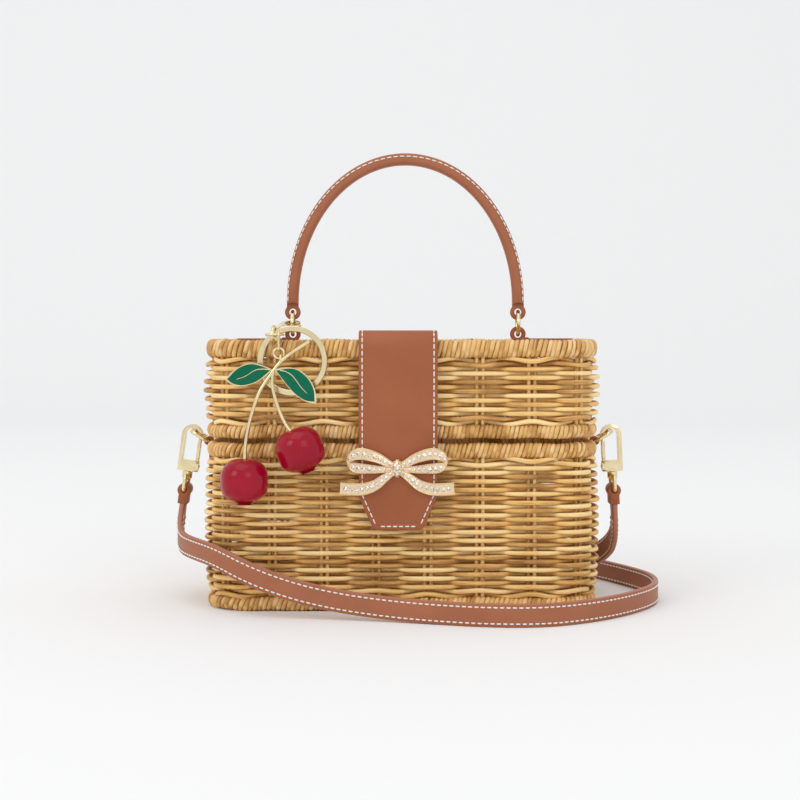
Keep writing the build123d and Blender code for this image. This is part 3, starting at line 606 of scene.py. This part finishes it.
def make_box():
    """Base and lid: woven walls, wound rims, woven bottom and top."""
    weave_wall(FOOT_TOP + 0.8 * MM, BASE_RIM - 0.6 * MM, "base_woven_wall", "basket", ["basket_shell"])
    stand_stakes(base_low.z + 4 * MM, base_high.z - 4 * MM, "base_stakes", "basket")
    wind_rim(base_low.z, FOOT_TOP, 0.15, "base_foot_rim", "basket", step=2.5 * MM)
    wind_rim(BASE_RIM, base_high.z, 0.16, "base_top_rim", "basket")
    rim_core(base_low.z, FOOT_TOP, "base_foot_core", "basket")
    rim_core(BASE_RIM, base_high.z, "base_rim_core", "basket")
    weave_panel(base_low.z + 3.2 * MM, "base_woven_bottom", "basket", 5)
    weave_wall(LID_RIM + 0.9 * MM, LID_TOP_RIM - 0.7 * MM, "lid_woven_wall", "lid", ["lid_shell"])
    stand_stakes(lid_low.z + 3 * MM, PANEL_TOP - 2 * MM, "lid_stakes", "lid")
    wind_rim(lid_low.z, LID_RIM, 0.08, "lid_low_rim", "lid")
    wind_rim(LID_TOP_RIM, lid_high.z, 0.12, "lid_top_rim", "lid", depth=4.1 * MM, step=2.5 * MM)
    rim_core(lid_low.z, LID_RIM, "lid_low_core", "lid")
    rim_core(LID_TOP_RIM, lid_high.z, "lid_top_core", "lid")
    weave_panel(PANEL_TOP - 2.9 * MM, "lid_woven_top", "lid", 6)


# ================================================================ stitches
# Along one stitch: where its points are, how far they stand out of the leather and how thick it is there.
STITCH_SPOTS = np.array((0.0, 0.2, 0.5, 0.8, 1.0))
STITCH_RISE = np.array((-0.7, 0.25, 0.45, 0.25, -0.7))
STITCH_GIRTH = np.array((0.55, 0.95, 1.0, 0.95, 0.55))


def stitch_row(row, path, outward, pitch, length, radius):
    """Adds one row of stitches along a path; outward points out of the leather at each point of it."""
    path = np.asarray(path, float)
    outward = np.asarray(outward, float)
    distance = walk(path)
    count = int(distance[-1] / pitch)
    slack = (distance[-1] - (count - 1) * pitch - length) / 2
    rise = STITCH_RISE * radius
    girth = STITCH_GIRTH * radius
    for stitch in range(count):
        spots = slack + stitch * pitch + length * STITCH_SPOTS
        place = sample(spots, distance, path)
        out = sample(spots, distance, outward)
        out /= np.linalg.norm(out, axis=1)[:, None]
        row.add(place + out * rise[:, None], out, girth, girth, sides=5)


# ================================================================ shoulder strap
ON_FLOOR = 0.00605  # height of the strap's middle where it stands on the floor
STRAP_FLOOR = [(0.0150, -0.0870), (0.0440, -0.0960), (0.0720, -0.0965), (0.0980, -0.0820), (0.1210, -0.0590),
               (0.1390, -0.0300), (0.1430, 0.0040), (0.1320, 0.0360), (0.1160, 0.0680), (0.0960, 0.1000),
               (0.0660, 0.1280), (0.0280, 0.1460), (-0.0180, 0.1530), (-0.0674, 0.1510), (-0.0920, 0.1274),
               (-0.0925, 0.0926), (-0.0674, 0.0680), (-0.0340, 0.0650), (-0.0020, 0.0680), (0.0260, 0.0660),
               (0.0520, 0.0675)]
STRAP_ROUTE = [
    (-0.12290, 0.0, 0.05282),
    (-0.12420, 0.0, 0.04353),
    (-0.1242, -0.0060, 0.0356),
    (-0.1215, -0.0165, 0.0325),
    (-0.1150, -0.0320, 0.0320),
    (-0.0990, -0.0545, 0.0305),
    (-0.0810, -0.0670, 0.0230),
    (-0.0600, -0.0705, 0.0155),
    (-0.0380, -0.0740, 0.0105),
    (-0.0120, -0.0790, 0.0073),
    *((x, y, ON_FLOOR) for x, y in STRAP_FLOOR),
    (0.0840, 0.0655, 0.0080),
    (0.1030, 0.0530, 0.0120),
    (0.1135, 0.0340, 0.0185),
    (0.1190, 0.0170, 0.0265),
    (0.1203, 0.0060, 0.0340),
    (0.11986, 0.0, 0.04249),
    (0.11934, 0.0, 0.05248),
]
STRAP_WIDE = 12.0 * MM
STRAP_THICK = 2.9 * MM
STRAP_INSET = 1.9 * MM  # from the strap's edge to its stitches


def route_points(name, route):
    """The points of a smooth curve that a route's points guide."""
    curve = bpy.data.curves.new(name, "CURVE")
    curve.dimensions = "3D"
    spline = curve.splines.new("NURBS")
    spline.points.add(len(route) - 1)
    for point, place in zip(spline.points, route):
        point.co = (*place, 1)
    spline.order_u = 3
    spline.use_endpoint_u = True
    spline.resolution_u = 8
    guide = bpy.data.objects.new(name, curve)
    bpy.context.scene.collection.objects.link(guide)
    bpy.context.view_layer.update()
    line = bpy.data.meshes.new_from_object(guide)
    points = np.array([tuple(vertex.co) for vertex in line.vertices])
    bpy.data.objects.remove(guide)
    bpy.data.meshes.remove(line)
    return points


def strap_frames(points):
    """The strap's face and width directions at each point: flat to the hooks at its ends, on edge between."""
    along = np.gradient(points, axis=0)
    along /= np.linalg.norm(along, axis=1)[:, None]
    face = np.cross(along, (0.0, 0.0, 1.0))
    level = np.linalg.norm(face, axis=1)
    steep = level < 0.5
    face /= np.maximum(level, 1e-6)[:, None]
    face[steep] = (-1.0, 0.0, 0.0)
    padded = np.concatenate((np.repeat(face[:1], 6, 0), face, np.repeat(face[-1:], 6, 0)))
    face = np.stack([np.convolve(padded[:, axis], np.ones(13) / 13, "valid") for axis in range(3)], 1)
    face -= along * np.sum(face * along, 1)[:, None]
    face /= np.linalg.norm(face, axis=1)[:, None]
    return face, np.cross(along, face)


def make_strap():
    """A flat leather strap with rounded, painted edges and two rows of stitches on each face."""
    points = route_points("strap_route", STRAP_ROUTE)
    face, width = strap_frames(points)
    section = []
    half_wide = STRAP_WIDE / 2
    half_thick = STRAP_THICK / 2
    for side in (1, -1):
        for spot in (-0.93, -0.5, 0.0, 0.5, 0.93):
            swell = 1.0 - 0.06 * spot**2
            section.append((side * half_thick * swell, side * spot * half_wide, 0.0))
        section.append((side * half_thick * 0.72, side * half_wide * 0.985, 1.0))
        section.append((0.0, side * half_wide, 1.0))
        section.append((-side * half_thick * 0.72, side * half_wide * 0.985, 1.0))
    rings = np.stack([points + face * a + width * b for a, b, _ in section], 1)
    mesh = bpy.data.meshes.new("shoulder_strap_leather")
    mesh.from_pydata(rings.reshape(-1, 3).tolist(), [], skin(len(points), len(section)))
    edge = mesh.attributes.new("edge", "FLOAT", "POINT")
    edge.data.foreach_set("value", np.tile([mark for _, _, mark in section], len(points)))
    mesh.shade_smooth()
    strap = finish_piece(mesh.name, mesh, strap_leather, "basket", ["shoulder_strap"])
    rows = Strands()
    for side in (1, -1):
        for edge_side in (1, -1):
            path = points + face * side * (half_thick * 0.97) + width * edge_side * (half_wide - STRAP_INSET)
            stitch_row(rows, path[3:-3], face[3:-3] * side, 3.25 * MM, 2.35 * MM, 0.42 * MM)
    stitches = rows.build("shoulder_strap_stitches", thread, "basket")


# ================================================================ smoothed CAD pieces
def soften(node, material, bevel):
    """A copy of a CAD piece with its sharp edges rounded over."""
    mesh = nodes[node].data.copy()
    work = bmesh.new()
    work.from_mesh(mesh)
    bmesh.ops.remove_doubles(work, verts=work.verts, dist=2e-6)
    bmesh.ops.dissolve_limit(work, angle_limit=math.radians(1.0), verts=work.verts, edges=work.edges)
    work.to_mesh(mesh)
    work.free()
    piece = finish_piece(f"{node}_finish", mesh, material, frame_body(node), [node])
    rounding = piece.modifiers.new("rounding", "BEVEL")
    rounding.width = bevel
    rounding.segments = 2
    rounding.limit_method = "ANGLE"
    rounding.angle_limit = math.radians(35)
    with bpy.context.temp_override(object=piece, active_object=piece, selected_objects=[piece]):
        bpy.ops.object.modifier_apply(modifier="rounding")
    piece.data.shade_smooth()
    smooth_by_angle(piece, 40)


def smooth_by_angle(piece, degrees):
    """Smooth shading that stops at edges sharper than this."""
    bpy.ops.object.select_all(action="DESELECT")
    piece.select_set(True)
    bpy.context.view_layer.objects.active = piece
    bpy.ops.object.shade_smooth_by_angle(angle=math.radians(degrees))
    bpy.ops.object.select_all(action="DESELECT")


def frame_body(node):
    """The body that a CAD node belongs to."""
    for body, members in frame["record"]["behaviour"]["bodies"].items():
        if node in members:
            return body
    return "root"


def paint(node, material):
    """Gives a CAD piece its finish."""
    mesh = nodes[node].data
    mesh.materials.clear()
    mesh.materials.append(material)


# ================================================================ flap and handle stitches
def flap_stitches():
    """Stitches down both sides of the flap, over its bend, and round its tip."""
    inset = 1.9 * MM
    middle_x = (flap_low.x + flap_high.x) / 2
    half = (flap_high.x - flap_low.x) / 2 - inset
    bend = 9.0 * MM
    top = flap_high.z
    front = flap_low.y
    tip_z = flap_low.z
    taper_z = tip_z + 18.2 * MM
    tip_half = 11.8 * MM
    up = (0, 0, 1)
    ahead = (0, -1, 0)
    row = Strands()
    for side in (-1, 1):
        x = middle_x + side * half
        path = [(x, -0.020, top - 1.55 * MM), (x, -0.036, top - 0.3 * MM), (x, -0.041, top)]
        out = [up, up, up]
        for step in range(13):
            angle = math.pi / 2 * step / 12
            path.append((x, front + bend - bend * math.sin(angle), top - bend + bend * math.cos(angle)))
            out.append((0, -math.sin(angle), math.cos(angle)))
        path.append((x, front, taper_z + 0.5 * MM))
        path.append((middle_x + side * tip_half, front, tip_z + inset + 0.8 * MM))
        out += [ahead, ahead]
        stitch_row(row, path, out, 3.6 * MM, 2.95 * MM, 0.38 * MM)
    across = [(middle_x - tip_half + 1 * MM, front, tip_z + inset),
              (middle_x + tip_half - 1 * MM, front, tip_z + inset)]
    stitch_row(row, across, [ahead] * 2, 3.2 * MM, 2.4 * MM, 0.42 * MM)
    rear = [(middle_x - half + 2 * MM, -0.0205, top - 1.5 * MM),
            (middle_x + half - 2 * MM, -0.0205, top - 1.5 * MM)]
    stitch_row(row, rear, [up] * 2, 3.4 * MM, 2.5 * MM, 0.42 * MM)
    row.build("flap_stitches", thread, "flap")


def handle_stitches():
    """Stitches on both faces of the handle, near its outer edge."""
    middle_x = (handle_low.x + handle_high.x) / 2
    radial = 6.4 * MM
    half_span = (handle_high.x - handle_low.x) / 2 - radial / 2
    rise = 80.0 * MM
    spring = handle_high.z - radial / 2 - rise
    offset = 1.35 * MM
    row = Strands()
    for side in (-1, 1):
        y = side * ((handle_high.y - handle_low.y) / 2 - 0.02 * MM)
        path = [(middle_x + half_span + offset, y, spring + height) for height in (-1.0 * MM, -0.5 * MM)]
        for step in range(61):
            angle = math.pi * step / 60
            normal = Vector((math.cos(angle) / half_span, 0, math.sin(angle) / rise)).normalized()
            path.append((middle_x + half_span * math.cos(angle) + normal.x * offset, y,
                         spring + rise * math.sin(angle) + normal.z * offset))
        path.append((middle_x - half_span - offset, y, spring - 1.0 * MM))
        stitch_row(row, path, [(0, side, 0)] * len(path), 3.6 * MM, 2.7 * MM, 0.34 * MM)
    row.build("handle_stitches", thread, "handle")


# ================================================================ bow
# Each band of ribbon: its middle line and width in millimetres from the knot, and how far it stands up.
BOW_BANDS = (
    ([(1.0, -0.4), (5.0, 1.2), (9.0, 3.4), (14.0, 5.2), (19.0, 6.1), (23.0, 5.1), (25.3, 2.6), (25.6, 0.2)],
     [2.8, 4.2, 5.2, 5.9, 6.2, 5.4, 3.0, 1.4], 0.9),
    ([(25.3, 0.6), (23.0, -0.9), (20.0, -1.6), (15.0, -1.9), (10.0, -2.2), (5.0, -2.0), (1.0, -1.6)],
     [2.4, 5.0, 5.7, 5.0, 4.2, 3.2, 2.2], 0.1),
    ([(1.0, -3.0), (6.5, -6.6), (11.5, -10.4), (17.5, -12.5), (24.0, -12.7), (30.0, -12.3)],
     [2.8, 4.6, 5.8, 6.5, 6.6, 6.6], 0.3),
)


# A band's section: share of its half width, and height in millimetres.
BOW_PROFILE = ((-1.0, 0.0), (-1.0, 1.9), (-0.86, 2.35), (-0.66, 2.15), (-0.3, 2.45),
               (0.3, 2.45), (0.66, 2.15), (0.86, 2.35), (1.0, 1.9), (1.0, 0.0))
KNOT_UP = -1.6  # the knot's middle, from the bands' zero


def smooth_line(points, values, per_span=8):
    """A smooth line through a few points, with the values that go with them."""
    both = np.column_stack((np.asarray(points, float), values))
    padded = np.concatenate((2 * both[:1] - both[1:2], both, 2 * both[-1:] - both[-2:-1]))
    line = []
    for span in range(len(points) - 1):
        p0, p1, p2, p3 = padded[span:span + 4]
        for step in range(per_span):
            t = step / per_span
            line.append(0.5 * (2 * p1 + (p2 - p0) * t + (2 * p0 - 5 * p1 + 4 * p2 - p3) * t**2
                               + (3 * p1 - p0 - 3 * p2 + p3) * t**3))
    line.append(both[-1])
    line = np.array(line)
    return line[:, :-1], line[:, -1]


def sideways(line):
    """The direction to the left of a flat line at each of its points."""
    along = np.gradient(line, axis=0)
    along /= np.linalg.norm(along, axis=1)[:, None]
    return np.stack([-along[:, 1], along[:, 0]], 1)


def even_spots(line, width, height, step):
    """Even steps along a band: the place, the sideways direction, the width and the height of each."""
    distance = walk(line)
    spots = np.linspace(0, distance[-1], max(2, int(distance[-1] / step)))
    return list(zip(sample(spots, distance, line), sample(spots, distance, sideways(line)),
                    np.interp(spots, distance, width), np.interp(spots, distance, height)))


class Scatter:
    """Gathers many copies of a small shape into one mesh."""

    def __init__(self, points, faces):
        self.shape = np.asarray(points, float)
        self.shape_faces = faces
        self.points = []
        self.faces = []

    def put(self, place, size, turn=0.0):
        """One copy at a place, scaled and turned about its own upright axis."""
        c, s = math.cos(turn), math.sin(turn)
        x, y, z = (self.shape * size).T
        turned = np.stack([x * c - y * s, x * s + y * c, z], 1)
        first = len(self.points) * len(self.shape)
        self.points.append(turned + np.asarray(place))
        self.faces.extend([tuple(first + corner for corner in face) for face in self.shape_faces])


def cut_stone():
    """A round cut stone: a small table, a ring of slanted facets and a girdle."""
    points = []
    for radius, height, shift in ((0.5, 0.75, 0.0), (0.85, 0.48, 0.5), (1.0, 0.0, 0.0)):
        for step in range(8):
            angle = 2 * math.pi * (step + shift) / 8
            points.append((radius * math.cos(angle), radius * math.sin(angle), height))
    faces = [tuple(range(8))]
    for step in range(8):
        after = (step + 1) % 8
        faces.append((step, 8 + step, after))
        faces.append((after, 8 + step, 8 + after))
        faces.append((8 + step, 16 + step, 16 + after))
        faces.append((8 + step, 16 + after, 8 + after))
    return points, faces


def ball_shape(make, **sizes):
    """The points and faces of a ball of radius 1, by one of bmesh's makers."""
    ball = bmesh.new()
    make(ball, radius=1.0, **sizes)
    ball.verts.index_update()
    points = [tuple(vertex.co) for vertex in ball.verts]
    faces = [tuple(vertex.index for vertex in face.verts) for face in ball.faces]
    ball.free()
    return points, faces


def bow_band(line, width, height, mirror):
    """The points and faces of one ribbon band, mirrored where mirror is -1."""
    side = sideways(line)
    rings = []
    for across, up in BOW_PROFILE:
        spot = line + side * (across * width / 2)[:, None]
        rings.append(np.column_stack([spot, up + height * (up > 0)]))
    rings = np.stack(rings, 1)
    rings[:, :, 0] *= mirror
    count = len(BOW_PROFILE)
    faces = []
    for ring in range(len(line) - 1):
        here = ring * count
        there = here + count
        for corner in range(count):
            after = (corner + 1) % count
            faces.append((here + corner, there + corner, there + after, here + after))
    faces.append(tuple(range(count)))
    faces.append(tuple((len(line) - 1) * count + corner for corner in reversed(range(count))))
    if mirror < 0:
        faces = [face[::-1] for face in faces]
    return rings.reshape(-1, 3), faces


def stud_band(line, width, height, mirror, beads, stones):
    """Beads along both rims of a band, and stones down its middle with two small ones between them."""
    for spot, side, wide, lift in even_spots(line, width, height, 0.78):
        for rim in (-1, 1):
            x, z = spot + side * rim * (wide / 2 - 0.28)
            beads.put((x * mirror, z, 2.35 + lift), 0.40)
    for spot, side, wide, lift in even_spots(line, width, height, 2.45)[1:-1]:
        size = min(1.25, wide * 0.24) * random.uniform(0.9, 1.1)
        stones.put((spot[0] * mirror, spot[1], 2.3 + lift), size, random.random())
        if wide > 3.0:
            for rim in (-1, 1):
                x, z = spot + side * rim * wide * 0.27 + np.array([-side[1], side[0]]) * 1.35
                size = 0.5 * random.uniform(0.8, 1.1)
                stones.put((x * mirror, z, 2.2 + lift), size, random.random())


def bow_piece(name, points, faces, material, replaces=()):
    """One piece of the bow, moved from (across, up, height) in millimetres onto the flap."""
    flat = np.asarray(points) * MM
    middle_x = (bow_low.x + bow_high.x) / 2
    middle_z = bow_high.z - 10.2 * MM
    placed = np.stack([middle_x + flat[:, 0], bow_high.y - flat[:, 2], middle_z + flat[:, 1]], 1)
    mesh = bpy.data.meshes.new(name)
    mesh.from_pydata(placed.tolist(), [], faces)
    if material is not stone:
        recalculate_normals(mesh)
        mesh.shade_smooth()
    return finish_piece(name, mesh, material, "flap", replaces)


def make_bow():
    """Ribbon bands with beaded rims, set with rows of stones."""
    beads = Scatter(*ball_shape(bmesh.ops.create_icosphere, subdivisions=1))
    stones = Scatter(*cut_stone())
    parts = []
    for mirror in (1, -1):
        for centre, widths, lift in BOW_BANDS:
            line, width = smooth_line(centre, widths)
            height = lift * np.sin(math.pi * np.linspace(0, 1, len(line)))
            parts.append(bow_band(line, width, height, mirror))
            stud_band(line, width, height, mirror, beads, stones)
    for angle in np.linspace(0, 2 * math.pi, 15)[:-1]:
        beads.put((2.5 * math.cos(angle), KNOT_UP + 4.6 * math.sin(angle), 2.3), 0.45)
    for x, z, size in ((0.0, 1.2, 1.1), (0.0, KNOT_UP, 1.3), (0.0, -4.4, 1.1), (1.5, -0.1, 0.6),
                       (-1.5, -0.1, 0.6), (1.5, -3.1, 0.6), (-1.5, -3.1, 0.6)):
        stones.put((x, z, 3.55 - 0.16 * abs(z - KNOT_UP)), size, random.random())
    knot_points, knot_faces = ball_shape(bmesh.ops.create_uvsphere, u_segments=20, v_segments=12)
    knot_points = np.array(knot_points) * (2.8, 5.0, 3.0) + (0, KNOT_UP, 0.9)
    knot_points[:, 2] = np.maximum(knot_points[:, 2], 0.0)
    parts.append((knot_points, knot_faces))
    points, faces = [], []
    for part_points, part_faces in parts:
        first = sum(len(p) for p in points)
        points.append(part_points)
        faces.extend(tuple(first + corner for corner in face) for face in part_faces)
    ribbons = bow_piece("bow_ribbons", np.concatenate(points), faces, bow_gold, ["bow"])
    smooth_by_angle(ribbons, 35)
    bow_piece("bow_beading", np.concatenate(beads.points), beads.faces, bow_gold)
    bow_piece("bow_cut_stones", np.concatenate(stones.points), stones.faces, stone,
              ["bow_stones"])


# ================================================================ leaves
# Each leaf's upper edge, lower edge and vein as (x, z) in millimetres.
LEAVES = {
    "left": ([(-67.3, 129.4), (-73.7, 131.9), (-79.6, 132.6), (-86.2, 129.9), (-91.9, 124.2)],
             [(-91.9, 124.2), (-88.2, 121.6), (-82.2, 120.9), (-74.9, 123.3), (-67.3, 129.4)],
             [(-68.5, 129.3), (-72.5, 129.6), (-76.5, 129.0), (-81.3, 126.0), (-86.1, 124.3)]),
    "right": ([(-66.2, 129.4), (-58.9, 130.6), (-53.5, 129.3), (-48.2, 124.6), (-45.2, 118.6),
               (-44.6, 111.9)],
              [(-44.6, 111.9), (-49.6, 112.6), (-54.2, 115.3), (-58.9, 119.9), (-66.2, 129.4)],
              [(-63.5, 129.0), (-60.0, 128.2), (-56.6, 125.8), (-52.6, 120.4), (-49.4, 117.0)]),
}
# The enamel's rings from back to front: share of the outline, and millimetres behind the enamel's CAD face.
ENAMEL_RINGS = ((0.925, 0.40), (0.925, -0.10), (0.90, -0.22), (0.80, -0.27))


def smooth_path(points, per_span=8):
    """A smooth line through a few points."""
    return smooth_line(points, [0.0] * len(points), per_span)[0]


def make_leaves():
    """Poured enamel that fills each leaf nearly to its gold edge, with a raised gold vein."""
    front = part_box("leaf_enamel_left")[0].y
    veins = Strands()
    for side, (upper, lower, vein) in LEAVES.items():
        outline = np.concatenate((smooth_path(upper), smooth_path(lower)[1:-1]))
        middle = np.array([(upper[0][0] + upper[-1][0]) / 2, (upper[2][1] + lower[2][1]) / 2])
        points = []
        for share, height in ENAMEL_RINGS:
            ring = middle + (outline - middle) * share
            points += [(x * MM, front + height * MM, z * MM) for x, z in ring]
        node = f"leaf_enamel_{side}"
        mesh = bpy.data.meshes.new(f"{node}_pour")
        mesh.from_pydata(points, [], skin(len(ENAMEL_RINGS), len(outline)))
        recalculate_normals(mesh)
        mesh.shade_smooth()
        finish_piece(mesh.name, mesh, green_enamel, "pendant", [node])
        path = smooth_path(vein, 5)
        spots = np.stack([path[:, 0] * MM, np.full(len(path), front - 0.27 * MM), path[:, 1] * MM], 1)
        taper = np.linspace(1.0, 0.45, len(path)) * 0.32 * MM
        veins.add(spots, np.tile((0.0, -1.0, 0.0), (len(path), 1)), taper * 0.6, taper, sides=6, tone=0.5)
    veins.build("leaf_veins", gold, "pendant")


# ================================================================ room
def make_room():
    """A pale floor that sweeps up behind, a bright ceiling box and a soft front light."""
    length, depth, radius, height = 6.0, 3.0, 1.2, 4.0
    profile = [(-3.0, 0.0), (depth - radius, 0.0)]
    for step in range(1, 17):
        angle = math.pi / 2 * step / 16
        profile.append((depth - radius + radius * math.sin(angle), radius - radius * math.cos(angle)))
    profile.append((depth, height))
    points, faces = [], []
    for y, z in profile:
        points += [(-length, y, z), (length, y, z)]
    for row in range(len(profile) - 1):
        faces.append((2 * row, 2 * row + 1, 2 * row + 3, 2 * row + 2))
    mesh = bpy.data.meshes.new("pale_floor")
    mesh.from_pydata(points, [], faces)
    mesh.shade_smooth()
    floor = bpy.data.objects.new("pale_floor", mesh)
    bpy.context.scene.collection.objects.link(floor)
    material, _, shader = new_material("pale_paint")
    shader.inputs["Base Color"].default_value = (0.90, 0.90, 0.903, 1)
    shader.inputs["Roughness"].default_value = 1.0
    shader.inputs["Specular IOR Level"].default_value = 0.0
    mesh.materials.append(material)
    world = bpy.data.worlds.new("soft_room")
    bpy.context.scene.world = world
    world.use_nodes = True
    background = world.node_tree.nodes["Background"]
    background.inputs["Color"].default_value = (0.99, 0.995, 1.0, 1)
    background.inputs["Strength"].default_value = 0.85
    for name, place, aim, size, power in (
            ("ceiling_box", (-0.6, -0.9, 3.2), (0, 0.2, 0.0), 2.6, 18.0),
            ("left_box", (-2.2, -1.9, 1.5), (0, 0, 0.1), 1.3, 12.0),
            ("front_box", (1.4, -2.9, 1.5), (0, 0, 0.1), 1.6, 9.0)):
        lamp = bpy.data.lights.new(name, "AREA")
        lamp.shape = "SQUARE"
        lamp.size = size
        lamp.energy = power
        holder = bpy.data.objects.new(name, lamp)
        bpy.context.scene.collection.objects.link(holder)
        holder.location = place
        holder.rotation_euler = (Vector(aim) - Vector(place)).to_track_quat("-Z", "Y").to_euler()
    bpy.context.scene.view_settings.view_transform = "Standard"


def pair(*names):
    """The left and right nodes of each name."""
    return [f"{name}_{side}" for name in names for side in ("left", "right")]


make_camera()
make_strap()
make_room()
make_box()
for node in ("basket_magnet", "magnet_washer", "flap_magnet"):
    paint(node, steel)
for node in pair("hinge_loop"):
    paint(node, cane)
for node in pair("side_tab", "strap_end", "handle_tab"):
    soften(node, leather, 0.35 * MM)
soften("flap", leather, 0.6 * MM)
soften("handle", strap_leather, 0.4 * MM)
for node in (*pair("snap_hook", "hook_gate"), "clasp_body", "clasp_lever"):
    soften(node, gold, 0.35 * MM)
for node in (*pair("handle_ring", "side_ring", "gate_pin", "swivel_eye"), "clasp_pin", "charm_eye",
             "key_ring", "connector_ring", "charm_link", "jump_ring", "cherry_stems"):
    paint(node, gold)
for node in pair("cherry"):
    paint(node, red_enamel)
flap_stitches()
handle_stitches()
make_bow()
make_leaves()
